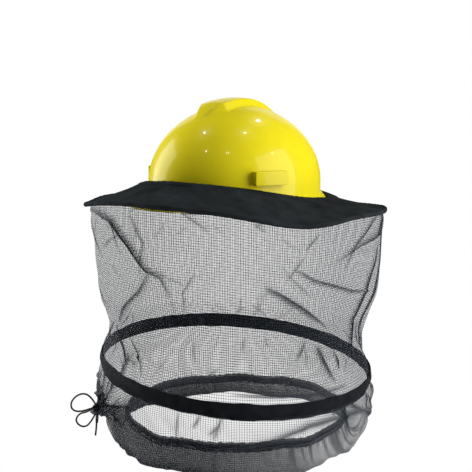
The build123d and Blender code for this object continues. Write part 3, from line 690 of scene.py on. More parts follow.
# ---------------------------------------------------------------- draw cord
class VEIL_OT_draw_bow(bpy.types.Operator):
    """Ties the draw cord in a bow outside the skirt"""

    bl_idname = "veil.draw_bow"
    bl_label = "Draw cord bow"

    DIAMETER = 2.5 * MM
    LEAD_SPACING = 3.2 * MM
    # Routes from the knot: outward, sideways, up.
    UPPER_LOOP = [
        (0.0040, 0.0010, 0.0030),
        (0.0110, 0.0025, 0.0170),
        (0.0250, 0.0040, 0.0190),
        (0.0370, 0.0050, 0.0080),
        (0.0360, 0.0040, -0.0050),
        (0.0220, 0.0020, -0.0080),
        (0.0047, 0.0005, -0.0012),
    ]
    LOWER_LOOP = [
        (0.0040, -0.0022, -0.0020),
        (0.0150, -0.0050, -0.0100),
        (0.0280, -0.0070, -0.0130),
        (0.0340, -0.0075, -0.0240),
        (0.0240, -0.0060, -0.0330),
        (0.0120, -0.0035, -0.0270),
        (0.0012, -0.0008, -0.0048),
    ]
    TAIL_ONE = [
        (0.0006, 0.0030, -0.0040),
        (0.0025, 0.0070, -0.0130),
        (0.0010, 0.0120, -0.0240),
        (0.0030, 0.0130, -0.0370),
    ]
    TAIL_TWO = [
        (0.0010, -0.0043, -0.0022),
        (0.0040, -0.0110, -0.0090),
        (0.0030, -0.0150, -0.0210),
        (0.0055, -0.0210, -0.0310),
    ]

    def world_points(self, route):
        """A route in the row frame."""
        out, side, up = BOW_AXES
        return [KNOT_MIDDLE + out * a + side * b + up * c for a, b, c in route]

    def cord_curve(self, name, route):
        """A round cord on one smooth spline."""
        data = bpy.data.curves.new(name, "CURVE")
        data.dimensions = "3D"
        data.bevel_depth = self.DIAMETER / 2
        data.bevel_resolution = 5
        data.resolution_u = 12
        data.use_fill_caps = True
        spline = data.splines.new("NURBS")
        points = self.world_points(route)
        spline.points.add(len(points) - 1)
        for point, place in zip(spline.points, points):
            point.co = (*place, 1.0)
        spline.order_u = 3
        spline.use_endpoint_u = True
        return show(name, data)

    def knot(self):
        """The tied knot: one strand wound through itself."""
        steps = ring_turns(150)
        wind = 1.15 * MM
        reach = wind * (2.1 + np.cos(3 * steps))
        rise = wind * 1.15 * np.sin(3 * steps)
        line = np.stack([rise, reach * np.cos(2 * steps), reach * np.sin(2 * steps)], -1)
        along = np.roll(line, -1, 0) - np.roll(line, 1, 0)
        along /= np.linalg.norm(along, axis=1)[:, None]
        side = np.cross(along, np.array([1.0, 0.0, 0.0]))
        side /= np.linalg.norm(side, axis=1)[:, None]
        up = np.cross(side, along)
        section = ring_turns(10)
        rows = [line + self.DIAMETER / 2 * (side * math.cos(a) + up * math.sin(a)) for a in section]
        rows.append(rows[0])
        return weld_seam(grid_piece("draw_knot_tied", np.stack(rows) @ BOW_AXES + KNOT_MIDDLE))

    def execute(self, context):
        knot = dress(self.knot(), "draw_cord")
        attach(knot, "hem")
        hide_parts("draw_knot")
        lengths = {
            "bow_upper_loop": (self.UPPER_LOOP, 0.088, "object"),
            "bow_lower_loop": (self.LOWER_LOOP, 0.087, "object"),
            "bow_tail_one": (self.TAIL_ONE, 0.035, "bare"),
            "bow_tail_two": (self.TAIL_TWO, 0.034, "bare"),
        }
        for name, (route, length, end) in lengths.items():
            cord = dress(self.cord_curve(name + "_cord", route), "draw_cord")
            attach(cord, "hem")
            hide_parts(name)
        reach = math.hypot(KNOT_MIDDLE[0], KNOT_MIDDLE[1]) - (HEM_HALF[0] - 1 * MM)
        for side in (-1, 1):
            offset = side * self.LEAD_SPACING / 2
            route = [
                (-reach, offset, -1.0 * MM),
                (-reach * 0.6, offset * 1.6, -2.0 * MM),
                (-reach * 0.3, offset * 1.2, 0.6 * MM),
                (-2.0 * MM, offset * 0.7, 0.0),
            ]
            lead = dress(self.cord_curve("draw_lead_" + ("one" if side < 0 else "two"), route), "draw_cord")
            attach(lead, "hem")
            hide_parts("draw_leads")
        dress_frame_node("cord_eyelet", "steel_wire")
        return {"FINISHED"}


# ---------------------------------------------------------------- helmet shell
class VEIL_OT_helmet_shell(bpy.types.Operator):
    """Moulds the helmet's shell with its crown ridge, rim and side pockets"""

    bl_idname = "veil.helmet_shell"
    bl_label = "Helmet shell"

    RISE = 101 * MM
    WALL = 2.5 * MM
    RIDGE_HALF = 25 * MM
    RIDGE_TAIL_HALF = 16 * MM
    RIDGE_TIP = -74 * MM
    RIDGE_SHOULDER = -42 * MM
    RIDGE_FADE_START = 10 * MM
    RIDGE_TAIL = 108 * MM
    RIDGE_EDGE = 8 * MM
    POCKET_TURN = 65.0
    POCKET_FACE = 113 * MM
    POCKET_LENGTH = 46 * MM
    POCKET_TALL = 17 * MM
    POCKET_BASE = 35.5 * MM
    POCKET_TAPER = 2.4 * MM
    POCKET_LIP = 2.4 * MM
    POCKET_ROUND = 2.2 * MM
    SLOT_BACK = 6.4 * MM
    SLOT_HALF = 15 * MM
    SLOT_DEEP = 13 * MM

    def ridge(self, x, y):
        """Height of the crown ridge above the dome at a place in plan."""
        climb = np.clip((y - self.RIDGE_TIP) / (self.RIDGE_SHOULDER - self.RIDGE_TIP), 0.0, 1.0)
        slide = np.clip((y - self.RIDGE_SHOULDER) / (self.RIDGE_TAIL - self.RIDGE_SHOULDER), 0.0, 1.0)
        width = self.RIDGE_HALF * (0.35 + 0.65 * climb) + (self.RIDGE_TAIL_HALF - self.RIDGE_HALF) * slide
        inside = smooth_step((width - np.abs(x)) / self.RIDGE_EDGE)
        fade = 1.0 - smooth_step((y - self.RIDGE_FADE_START) / (self.RIDGE_TAIL - self.RIDGE_FADE_START))
        crown = 1.0 - 0.10 * (x / self.RIDGE_HALF) ** 2
        return sizes().ridge_height * inside * smooth_step(climb) ** 0.8 * fade * crown

    def shell(self):
        columns = 420
        turns = ring_turns(columns)[None, :]
        dip = np.concatenate([np.linspace(0.2, 88.0, 150), [90.0]])
        fall = np.radians(dip)[:, None]
        out = np.sin(fall)
        x = WALL_HALF_X * out * np.cos(turns)
        y = WALL_HALF_Y * out * np.sin(turns)
        z = SHELL_BASE_Z + self.RISE * np.cos(fall) + 0 * turns
        steep = (z - SHELL_BASE_Z) / self.RISE ** 2
        normal = np.stack([x / WALL_HALF_X ** 2, y / WALL_HALF_Y ** 2, steep], -1)
        normal /= np.linalg.norm(normal, axis=-1)[..., None]
        dome = np.stack([x, y, z], -1) + normal * self.ridge(x, y)[..., None]
        rows = [dome]
        for share in (0.0, 0.06, 0.3, 0.6, 0.9, 1.0):
            front = SHELL_HALF[1] - WALL_HALF_Y
            half_x = WALL_HALF_X + SIDE_REACH * share
            half_y = WALL_HALF_Y + front * share
            middle = SHELL_MIDDLE[1] * share
            height = FLARE_TOP + (FLARE_LOW - FLARE_TOP) * share
            ring = np.stack([half_x * np.cos(turns), middle + half_y * np.sin(turns), height + 0 * turns], -1)
            rows.append(ring)
        piece = grid_piece("helmet_dome", np.concatenate(rows))
        self.close_top(piece, columns)
        return thicken(piece, self.WALL, -1.0)

    def close_top(self, piece, columns):
        """Fills the tiny ring left at the crown."""
        work = bmesh.new()
        work.from_mesh(piece.data)
        work.verts.ensure_lookup_table()
        face = work.faces.new([work.verts[index] for index in range(columns)])
        face.smooth = True
        face.normal_update()
        if face.normal.z < 0:
            face.normal_flip()
        work.to_mesh(piece.data)
        work.free()

    def pocket(self, side):
        """A rounded block with the slot for an ear muff in its lower face."""
        work = bmesh.new()
        depth = self.POCKET_FACE * 0.2
        bmesh.ops.create_cube(work, size=1.0)
        bmesh.ops.scale(work, verts=work.verts, vec=(depth, self.POCKET_LENGTH, self.POCKET_TALL))
        low = min(work.faces, key=lambda face: face.calc_center_median().z)
        bmesh.ops.inset_region(work, faces=[low], thickness=self.POCKET_LIP)
        bmesh.ops.translate(work, verts=low.verts, vec=(depth * 0.32, 0.0, 0.0))
        for vert in low.verts:
            vert.co.x = depth / 2 - (self.POCKET_LIP if vert.co.x > depth * 0.3 else self.SLOT_BACK)
            vert.co.y = math.copysign(self.SLOT_HALF, vert.co.y)
        lifted = bmesh.ops.extrude_face_region(work, geom=[low])
        verts = [item for item in lifted["geom"] if isinstance(item, bmesh.types.BMVert)]
        bmesh.ops.translate(work, verts=verts, vec=(0.0, 0.0, self.SLOT_DEEP))
        if low.is_valid:
            bmesh.ops.delete(work, geom=[low], context="FACES_ONLY")
        bmesh.ops.recalc_face_normals(work, faces=work.faces)
        angle = math.radians(self.POCKET_TURN - 90.0 if side > 0 else 270.0 - self.POCKET_TURN)
        shift = Vector((self.POCKET_FACE - depth / 2, 0.0, self.POCKET_BASE + self.POCKET_TALL / 2))
        for vert in work.verts:
            vert.co.x -= side * self.POCKET_TAPER * vert.co.y / (self.POCKET_LENGTH / 2)
            place = vert.co + shift
            vert.co = Vector((
                place.x * math.cos(angle) - place.y * math.sin(angle),
                place.x * math.sin(angle) + place.y * math.cos(angle),
                place.z,
            ))
        name = "pocket_left" if side > 0 else "pocket_right"
        mesh = bpy.data.meshes.new(name)
        work.to_mesh(mesh)
        work.free()
        piece = show(name, mesh)
        bevel = piece.modifiers.new("Rounding", "BEVEL")
        bevel.width = self.POCKET_ROUND
        bevel.segments = 4
        bevel.limit_method = "ANGLE"
        bevel.harden_normals = False
        for polygon in mesh.polygons:
            polygon.use_smooth = True
        return piece

    def execute(self, context):
        shell = dress(self.shell(), "yellow_shell")
        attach(shell, "helmet")
        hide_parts("helmet_shell")
        for side in (1, -1):
            pocket = dress(self.pocket(side), "yellow_shell")
            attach(pocket, "helmet")
            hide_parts("helmet_shell")
        return {"FINISHED"}


# ---------------------------------------------------------------- suspension
class VEIL_OT_suspension(bpy.types.Operator):
    """Finishes the headband, keys and ratchet, and sews the straps and pads"""

    bl_idname = "veil.suspension"
    bl_label = "Suspension"

    PLASTIC = [
        "headband", "key_front_left", "key_front_right", "key_rear_left", "key_rear_right",
        "ratchet_housing", "ratchet_cover", "ratchet_knob", "rack_left", "rack_right",
    ]
    STRAP_TURN = 48.0
    STRAP_WIDTH = 20 * MM
    STRAP_RADIUS = 96 * MM
    STRAP_THICK = 1.2 * MM
    BAND_WALL = 2 * MM
    BAND_HALF_Y = 95 * MM

    def strap(self, name, turn, sink):
        """One webbing strap arched over the head."""
        low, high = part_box("crown_strap_upper")
        rise = high[2] - low[2] - self.STRAP_THICK / 2 - sink
        arch = np.linspace(0.0, math.pi, 90)[:, None]
        across = np.linspace(-0.5, 0.5, 9)[None, :] * self.STRAP_WIDTH
        reach = (self.STRAP_RADIUS - self.STRAP_THICK / 2) * np.cos(arch) + 0 * across
        height = low[2] + rise * np.sin(arch) + 0 * across
        cup = 0.3 * MM * np.cos(across / self.STRAP_WIDTH * math.pi)
        angle = math.radians(turn)
        side = across + 0 * arch
        points = np.stack([
            reach * math.cos(angle) - side * math.sin(angle),
            reach * math.sin(angle) + side * math.cos(angle),
            height + cup * np.sin(arch) - 0.3 * MM,
        ], -1)
        length = np.cumsum(np.r_[0.0, np.hypot(np.diff(reach[:, 0]), np.diff(height[:, 0]))])
        texture = np.stack(np.broadcast_arrays(across, length[:, None]), -1)
        piece = grid_piece(name, points, False, texture)
        return thicken(piece, self.STRAP_THICK * 0.8)

    def band_path(self, grow, start, end, count):
        """Points along the front of the headband's outline."""
        angles = np.linspace(start, end, count)
        half_x = BAND_HALF[0] - self.BAND_WALL + grow
        half_y = self.BAND_HALF_Y + grow
        return np.stack([half_x * np.cos(angles), half_y * np.sin(angles)], -1)

    def padded_strip(self, name, path, low, high, thick):
        """A soft strip with a rounded section that follows a path in plan."""
        tangent = np.gradient(path, axis=0)
        tangent /= np.linalg.norm(tangent, axis=1)[:, None]
        inward = np.stack([-tangent[:, 1], tangent[:, 0]], -1)
        middle, half = (low + high) / 2, (high - low) / 2
        section = ring_turns(28)
        count = len(path)
        ends = np.minimum(np.arange(count), np.arange(count)[::-1]) / 5.0
        swell = np.sqrt(np.clip(ends, 0.02, 1.0))
        rows = []
        for a in section:
            out = rounded(math.cos(a), 0.6) * thick / 2
            up = rounded(math.sin(a), 0.45) * half
            channel = 1.0 - 0.25 * math.exp(-((up / half) / 0.08) ** 2)
            place = path + inward * (thick / 2 + out * channel * swell)[:, None]
            rows.append(np.column_stack([place, middle + up * (0.9 + 0.1 * swell)]))
        rows.append(rows[0])
        return grid_piece(name, np.stack(rows), False)

    def disc_pad(self, name, middle, half):
        """A round pad with a sewn edge."""
        turns = ring_turns(72)[None, :]
        upper = [(0.02, 1.0), (0.4, 1.0), (0.7, 0.92), (0.84, 0.6), (0.88, 0.5), (0.93, 0.62), (1.0, 0.2)]
        shape = upper + [(out, -up) for out, up in reversed(upper)]
        rows = [polar(half[0] * out, turns, middle[2] + half[2] * up)[0] for out, up in shape]
        return grid_piece(name, np.stack(rows))

    def execute(self, context):
        for name in self.PLASTIC:
            dress_frame_node(name, "black_plastic")
        sink = 2.2 * MM
        for name, turn, drop in (("crown_strap_upper", self.STRAP_TURN, 0.0),
                                 ("crown_strap_lower", 180.0 - self.STRAP_TURN, sink)):
            strap = dress(self.strap(name + "_webbing", turn, drop), "webbing")
            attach(strap, "helmet")
            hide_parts(name)
        low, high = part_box("brow_sweatband")
        path = self.band_path(-0.4 * MM, math.pi - 0.1, TURN + 0.1, 90)
        brow = dress(self.padded_strip("brow_sweatband_pad", path, low[2], high[2], 2.6 * MM), "soft_padding")
        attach(brow, "helmet")
        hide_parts("brow_sweatband")
        low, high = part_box("nape_pad")
        line = np.stack([np.linspace(high[0], low[0], 40), np.full(40, high[1])], -1)
        nape = self.padded_strip("nape_pad_soft", line, low[2], high[2], high[1] - low[1])
        dress(nape, "soft_padding")
        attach(nape, "helmet")
        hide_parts("nape_pad")
        middle, half = span("crown_pad")
        crown = dress(self.disc_pad("crown_pad_soft", middle, half), "soft_padding")
        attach(crown, "helmet")
        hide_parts("crown_pad")
        return {"FINISHED"}


# ---------------------------------------------------------------- brim
# Tables of degrees round and millimetres: the wire's height off its plane, its swell outward, and the
# height of the elastic off the casing's plane.
RIM_BENDS = [
    (0, 0), (12, 2), (27, 3), (42, 5), (70, 3), (100, 0), (130, -1), (160, 1), (190, 4), (205, 1), (218, -5),
    (226, -5), (240, -1), (256, 4), (270, 6.5), (283, 6), (300, 4), (312, 0), (320, -4.5), (330, -9.5),
    (338, -10.5), (347, -7.4), (355, -2),
]
RIM_SWELLS = [
    (0, -1), (20, 1), (40, 3), (60, 1), (90, 0), (130, -2), (190, 0), (210, 2), (222, 6), (234, 2), (255, 0),
    (300, -1),
]
ELASTIC_BENDS = [
    (0, -12), (20, -14), (42, -15), (66, -13), (95, -4), (120, 0), (160, 1), (195, -3), (222, -5), (245, 0),
    (275, 3), (300, 1), (318, -2), (335, -6), (348, -9),
]


def rim_reach(turns):
    """Distance from the axis to the brim's wire."""
    return RIM_RADIUS + ring_value(turns, RIM_SWELLS) * MM


def rim_height(turns, radius=RIM_RADIUS):
    """Height of the brim's wire round the rim."""
    return WIRE_MIDDLE[2] - np.tan(RIM_SLOPE) * radius * np.sin(turns) + ring_value(turns, RIM_BENDS) * MM


def elastic_height(turns):
    """Height of the middle of the elastic's channel round the helmet."""
    wall = wall_reach(turns, WALL_HALF_X, WALL_HALF_Y)
    return CASING_MIDDLE[2] - np.tan(RIM_SLOPE) * wall * np.sin(turns) + ring_value(turns, ELASTIC_BENDS) * MM


def helmet_reach(turns, height):
    """Distance from the axis to the outside of the helmet, on its wall or its flare."""
    wall = wall_reach(turns, WALL_HALF_X, WALL_HALF_Y)
    edge_x = (WALL_HALF_X + SIDE_REACH) * np.cos(turns)
    edge_y = SHELL_MIDDLE[1] + SHELL_HALF[1] * np.sin(turns)
    edge = np.hypot(edge_x, edge_y)
    return wall + (edge - wall) * np.clip((FLARE_TOP - height) / (FLARE_TOP - FLARE_LOW), 0.0, 1.0)


def brim_wave(turns, share):
    """How far the brim's cloth leaves its cone, at a share of the way out."""
    wrinkle = sizes().brim_wrinkle
    near = np.exp(-share / 0.16) * smooth_step(share / 0.05)
    gathers = ring_noise(turns, (61, 74, 89, 103), 5) * near * wrinkle * 0.8
    buckles = ring_noise(turns, (5, 7, 11, 16), 8) * np.sin(math.pi * share) * wrinkle * 1.3
    droop = -1.2 * MM * np.sin(math.pi * share) ** 2
    return gathers + buckles + droop


def brim_points(turns, shares, drop, start_gap=1.0 * MM):
    """Points of one layer of the brim, from the elastic out to the wire."""
    top = elastic_height(turns) + 4.4 * MM
    edge = helmet_reach(turns, top) + 1.0 * MM
    inner = edge - 1.0 * MM + start_gap
    outer = rim_reach(turns) - 1.0 * MM
    radius = inner + (outer - inner) * shares[:, None]
    shares = (radius - edge) / (outer - edge)
    turns = turns[None, :]
    lip = 1.6 * MM * np.exp(-shares / 0.03)
    height = top * (1 - shares) + (rim_height(turns, outer) + 1.4 * MM) * shares - lip
    return polar(radius, turns, height + brim_wave(turns, shares) - drop * (1 - 0.6 * shares ** 4))


class VEIL_OT_brim(bpy.types.Operator):
    """Sews the brim: cover, stiffener, lining and the elastic channel round the helmet"""

    bl_idname = "veil.brim"
    bl_label = "Brim"

    ROUND = 540
    LAYERS = [
        ("brim_cover", "brim_cloth", 0.0, 0.8 * MM, 1.0 * MM),
        ("brim_stiffener", "stiffener_felt", 1.3 * MM, 1.4 * MM, 12.0 * MM),
        ("brim_lining", "brim_cloth", 2.6 * MM, 0.8 * MM, 9.0 * MM),
    ]

    def layer(self, name, material, drop, thick, gap):
        turns = ring_turns(self.ROUND)
        shares = np.concatenate([np.linspace(0.0, 0.1, 9), np.linspace(0.12, 1.0, 46)])
        points = brim_points(turns, shares, drop, gap)
        reach = shares * 76 * MM
        piece = grid_piece(name + "_cloth", points, True, ring_texture(turns, reach, 0.155))
        thicken(piece, thick)
        dress(piece, material)
        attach(piece, "veil")
        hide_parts(name)

    def ring_in_channel(self, name, half_out, half_up, pleats, depth, material):
        """A flattened ring between the shell's wall and the brim."""
        turns = ring_turns(720)
        height = elastic_height(turns)
        reach = np.maximum(helmet_reach(turns, height), helmet_reach(turns, height - half_up)) + 7.2 * MM
        centre = polar(reach, turns, height)
        outward, upward = level_axes(turns)
        pucker = depth * ring_noise(turns, pleats, 3)
        profile = []
        for a in ring_turns(16):
            profile.append((half_out * math.cos(a) + 0 * turns, (half_up + pucker) * math.sin(a)))
        piece = tube_ring(name, centre, outward, upward, profile, CASING_HALF[0])
        return dress(piece, material)

    def execute(self, context):
        for name, material, drop, thick, gap in self.LAYERS:
            self.layer(name, material, drop, thick, gap)
        channel = self.ring_in_channel(
            "elastic_channel", 6.4 * MM, 2.6 * MM, (97, 113, 131), 0.5 * MM, "brim_cloth")
        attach(channel, "veil")
        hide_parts("elastic_casing")
        band = self.ring_in_channel("elastic_braid", 4.6 * MM, 0.8 * MM, (97, 113), 0.1 * MM, "elastic")
        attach(band, "veil")
        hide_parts("elastic_band")
        return {"FINISHED"}


class VEIL_OT_rim(bpy.types.Operator):
    """Binds the wire in the brim's edge"""

    bl_idname = "veil.rim"
    bl_label = "Rim binding"

    HALF_OUT = 2.6 * MM
    HALF_UP = 2.9 * MM

    def ring(self, name, half_out, half_up, pucker_by, sides):
        turns = ring_turns(720)
        centre = polar(rim_reach(turns), turns, rim_height(turns))
        outward, upward = level_axes(turns)
        pucker = pucker_by * ring_noise(turns, (83, 121, 167), 12)
        profile = []
        for a in ring_turns(sides):
            profile.append((half_out * math.cos(a) + pucker, half_up * math.sin(a) + pucker))
        return tube_ring(name, centre, outward, upward, profile, RIM_RADIUS)

    def execute(self, context):
        binding = self.ring("rim_binding_tape", self.HALF_OUT, self.HALF_UP, 0.25 * MM, 20)
        dress(binding, "brim_cloth")
        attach(binding, "veil")
        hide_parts("rim_binding")
        wire = dress(self.ring("rim_wire_bent", RIM_WIRE, RIM_WIRE, 0.0, 12), "steel_wire")
        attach(wire, "veil")
        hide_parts("rim_wire")
        return {"FINISHED"}


# ---------------------------------------------------------------- folds in net
def route_distance(arc, height, route, radius):
    """Signed distance from each point of a sheet to a route, and how far along the route it lies, 0 to 1."""
    best = np.full(arc.shape, 1e9)
    side = np.zeros(arc.shape)
    along = np.zeros(arc.shape)
    points = [(math.radians(turn) * radius, level * MM) for turn, level in route]
    pieces = list(zip(points, points[1:]))
    for index, ((ax, az), (bx, bz)) in enumerate(pieces):
        dx, dz = bx - ax, bz - az
        length = math.hypot(dx, dz)
        for lap in (-1, 0, 1):
            px = arc + lap * TURN * radius - ax
            pz = height - az
            share = np.clip((px * dx + pz * dz) / length ** 2, 0.0, 1.0)
            away_x, away_z = px - share * dx, pz - share * dz
            away = np.hypot(away_x, away_z)
            sign = np.sign(px * dz - pz * dx)
            nearer = away < best
            best = np.where(nearer, away, best)
            side = np.where(nearer, sign, side)
            along = np.where(nearer, (index + share) / len(pieces), along)
    return best * side, along


class Drape:
    """A hanging sheet that folds are laid in: its points, and how many extra layers lie at each."""

    def __init__(self, points, turns, radius):
        self.points = points
        self.height = points[..., 2].copy()
        self.arc = turns[None, :] * radius + 0 * self.height
        self.radius = radius
        self.layers = np.zeros_like(self.height)

    def fold(self, route, width, depth, pinch=0.8, lean=0.0, layers=0.5):
        """Raises one fold along a route: the cloth rises outward and is drawn together at the crest."""
        away, along = route_distance(self.arc, self.height, route, self.radius)
        fade = np.sin(math.pi * np.clip(along, 0.0, 1.0)) ** 0.6
        crest = np.exp(-(away / (1.4 * width)) ** 2) * fade
        out = self.points.copy()
        out[..., 2] = 0.0
        out /= np.linalg.norm(out, axis=-1)[..., None]
        tangent = np.stack([-out[..., 1], out[..., 0], np.zeros_like(out[..., 0])], -1)
        (ax, az), (bx, bz) = route[0], route[-1]
        dx, dz = math.radians(bx - ax) * self.radius, (bz - az) * MM
        length = math.hypot(dx, dz)
        across = tangent * (dz / length) + np.array([0.0, 0.0, -dx / length])
        draw = -pinch * away * crest + lean * crest * depth
        trough = -0.2 * depth * np.exp(-((np.abs(away) - 2.0 * width) / width) ** 2) * fade
        self.points = self.points + out * (depth * crest + trough)[..., None] + across * draw[..., None]
        crease = np.exp(-(away / (1.55 * width)) ** 2) * fade
        self.layers = np.maximum(self.layers, crease * layers)

    def small_folds(self, seed, count, levels, reach, width, depth, slant, layers, turns=(0.0, 360.0)):
        """Many short random folds that start at levels and run down or up by reach."""
        rng = random.Random(seed)
        for _ in range(count):
            turn = rng.uniform(*turns)
            level = rng.uniform(*levels)
            run = rng.uniform(*reach)
            lean = rng.uniform(-slant, slant)
            route = [(turn, level), (turn + lean * 0.4, level + run * 0.5), (turn + lean, level + run)]
            self.fold(route, rng.uniform(*width) * MM, rng.uniform(*depth) * MM, rng.uniform(0.4, 0.9), 0.0,
                      rng.uniform(*layers))


# ---------------------------------------------------------------- upper net
# Share of the way down, and radius in millimetres.
NET_PROFILE = [
    (0.0, 192.6), (0.15, 192.0), (0.32, 190.0), (0.55, 184.0), (0.76, 171.0), (0.88, 169.5), (1.0, 180.0),
]
# Degrees round and millimetres the net is drawn in: at the waist, and over its whole height.
WAIST_PULLS = [(0, -2), (20, -4), (42, -8), (64, -3), (90, 0), (200, 0), (222, 2), (250, 0)]
SIDE_PULLS = [(180, 0), (204, -2), (222, -7), (240, -2), (260, 0)]


def net_base(turns, shares):
    """The net's middle surface without folds: radius and height."""
    steps = [step for step, _ in NET_PROFILE]
    radii = [radius * MM for _, radius in NET_PROFILE]
    fine = np.linspace(0, 1, 200)
    soft = smoothed(np.interp(fine, steps, radii), 25, mode="edge")
    radius = np.interp(shares, fine, soft)[:, None] + 0 * turns[None, :]
    waist = np.exp(-((shares - 0.7) / 0.17) ** 2)[:, None]
    side = (np.sin(math.pi * shares ** 0.5) ** 0.5)[:, None]
    pull = ring_value(turns, WAIST_PULLS)[None, :] * waist + ring_value(turns, SIDE_PULLS)[None, :] * side
    radius = radius + pull * MM
    top = rim_height(turns) - 2.0 * MM
    low = hoop_height(HOOP_RADIUS * np.cos(turns)) + TAPE_TALL / 2 - 2.5 * MM
    height = top[None, :] + (low - top)[None, :] * shares[:, None]
    return radius, height


class VEIL_OT_upper_net(bpy.types.Operator):
    """Hangs the net between the brim and the hoop, with its folds and its seam"""

    bl_idname = "veil.upper_net"
    bl_label = "Upper net"

    ROUND = 720
    DOWN = 150
    SEAM_TURN = 42.0
    # Each fold: its route as (degrees, height in mm), then width and depth in mm, lean and layers.
    FOLDS = [
        ([(226, -5), (240, 3), (252, 2), (262, -4), (272, -31), (279, -57), (285, -65), (288, -90)],
         2.6, 6.0, 0.3, 0.9),
        ([(281, -56), (275, -84), (265, -110), (256, -136)], 2.2, 5.0, -0.2, 0.75),
        ([(268, -18), (260, -28), (253, -41)], 1.3, 2.5, 0.2, 0.45),
        ([(232, -4), (243, -26), (252, -52)], 1.4, 2.5, 0.2, 0.35),
        ([(262, -146), (268, -168), (272, -196)], 1.7, 3.5, 0.0, 0.55),
        ([(252, -140), (257, -162), (262, -186)], 1.8, 3.5, 0.3, 0.6),
        ([(380, -3), (371, -9), (360, -34), (354, -61)], 1.8, 4.5, 0.3, 0.65),
        ([(342, -14), (336, -34)], 1.3, 3.0, 0.2, 0.5),
        ([(336, -40), (330, -66)], 1.2, 3.0, 0.2, 0.45),
        ([(332, -54), (340, -70), (360, -91), (374, -97)], 1.8, 5.0, -0.4, 0.7),
        ([(379, -36), (376, -62), (369, -98), (363, -127), (370, -169), (375, -195)], 2.4, 5.0, 0.3, 0.85),
        ([(345, -150), (350, -172), (357, -204)], 2.6, 5.0, 0.2, 0.9),
        ([(310, -203), (328, -208), (346, -211), (364, -211)], 1.3, 1.5, 0.0, 0.8),
        ([(40, -6), (50, -40), (66, -64), (80, -96)], 2.2, 6.0, 0.4, 0.6),
        ([(118, -144), (98, -170), (82, -194)], 3.6, 6.0, 0.3, 0.95),
        ([(100, -8), (112, -34), (124, -54)], 1.8, 5.0, 0.4, 0.4),
        ([(165, -8), (154, -36), (144, -60)], 1.8, 5.0, -0.4, 0.4),
        ([(186, -20), (178, -70), (184, -118)], 2.2, 5.0, 0.3, 0.5),
        ([(206, -8), (198, -40), (194, -80)], 2.0, 5.0, 0.4, 0.5),
        ([(152, -120), (160, -150), (158, -190)], 2.0, 5.0, 0.2, 0.4),
    ]

    def drape(self, turns, shares):
        radius, height = net_base(turns, shares)
        scale = sizes().net_fold / (9 * MM)
        swing = ring_noise(turns[None, :] + 0.8 * shares[:, None], (3, 5, 8), 21) * 3.0 * MM
        swing = swing + ring_noise(turns[None, :] - 1.1 * shares[:, None], (11, 14, 19), 22) * 1.0 * MM
        middle = np.sin(math.pi * shares)[:, None]
        base = polar(radius + swing * middle * scale, turns[None, :], height)
        cloth = Drape(base, turns, RIM_RADIUS)
        for route, width, depth, lean, layers in self.FOLDS:
            cloth.fold(route, width * MM, depth * MM * scale, 0.85, lean, layers)
        deep = (1.0 * scale, 3.0 * scale)
        cloth.small_folds(31, 36, (-200.0, -184.0), (10.0, 42.0), (1.1, 2.0), deep, 9.0, (0.1, 0.4))
        cloth.small_folds(32, 26, (-3.0, 4.0), (-34.0, -10.0), (1.1, 1.9), (0.8, 2.0), 6.0, (0.1, 0.3))
        cloth.small_folds(33, 10, (-150.0, -50.0), (-46.0, -20.0), (1.2, 2.2), (1.0, 2.5), 20.0, (0.1, 0.3))
        held = (smooth_step(shares / 0.05) * smooth_step((1 - shares) / 0.04))[:, None, None]
        return base + (cloth.points - base) * held, cloth.layers

    def execute(self, context):
        turns = ring_turns(self.ROUND)
        shares = np.linspace(0.0, 1.0, self.DOWN)
        points, layers = self.drape(turns, shares)
        texture = ring_texture(turns, shares * 0.210, RIM_RADIUS)
        net = grid_piece("upper_net_cloth", points, True, texture, layers)
        first = int(round(self.SEAM_TURN / 360 * self.ROUND))
        strip = points[:, first - 3:first + 4].copy()
        away = strip.copy()
        away[..., 2] = 0.0
        away /= np.linalg.norm(away, axis=-1)[..., None]
        strip += away * (sizes().net_thickness * 0.5 + 0.7 * MM)
        across = np.arange(7)[None, :] * 1.3 * MM + 0 * shares[:, None]
        along = shares[:, None] * 0.210 + 0 * across
        seam = grid_piece("net_seam_strip", strip, False, np.stack([across, along], -1))
        thicken(seam, 0.8 * MM)
        thicken(net, sizes().net_thickness)
        dress(net, "net")
        dress(seam, "seam_tape")
        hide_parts("upper_net")
        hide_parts("net_seam")
        for piece in (net, seam):
            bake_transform(piece)
        return {"FINISHED"}


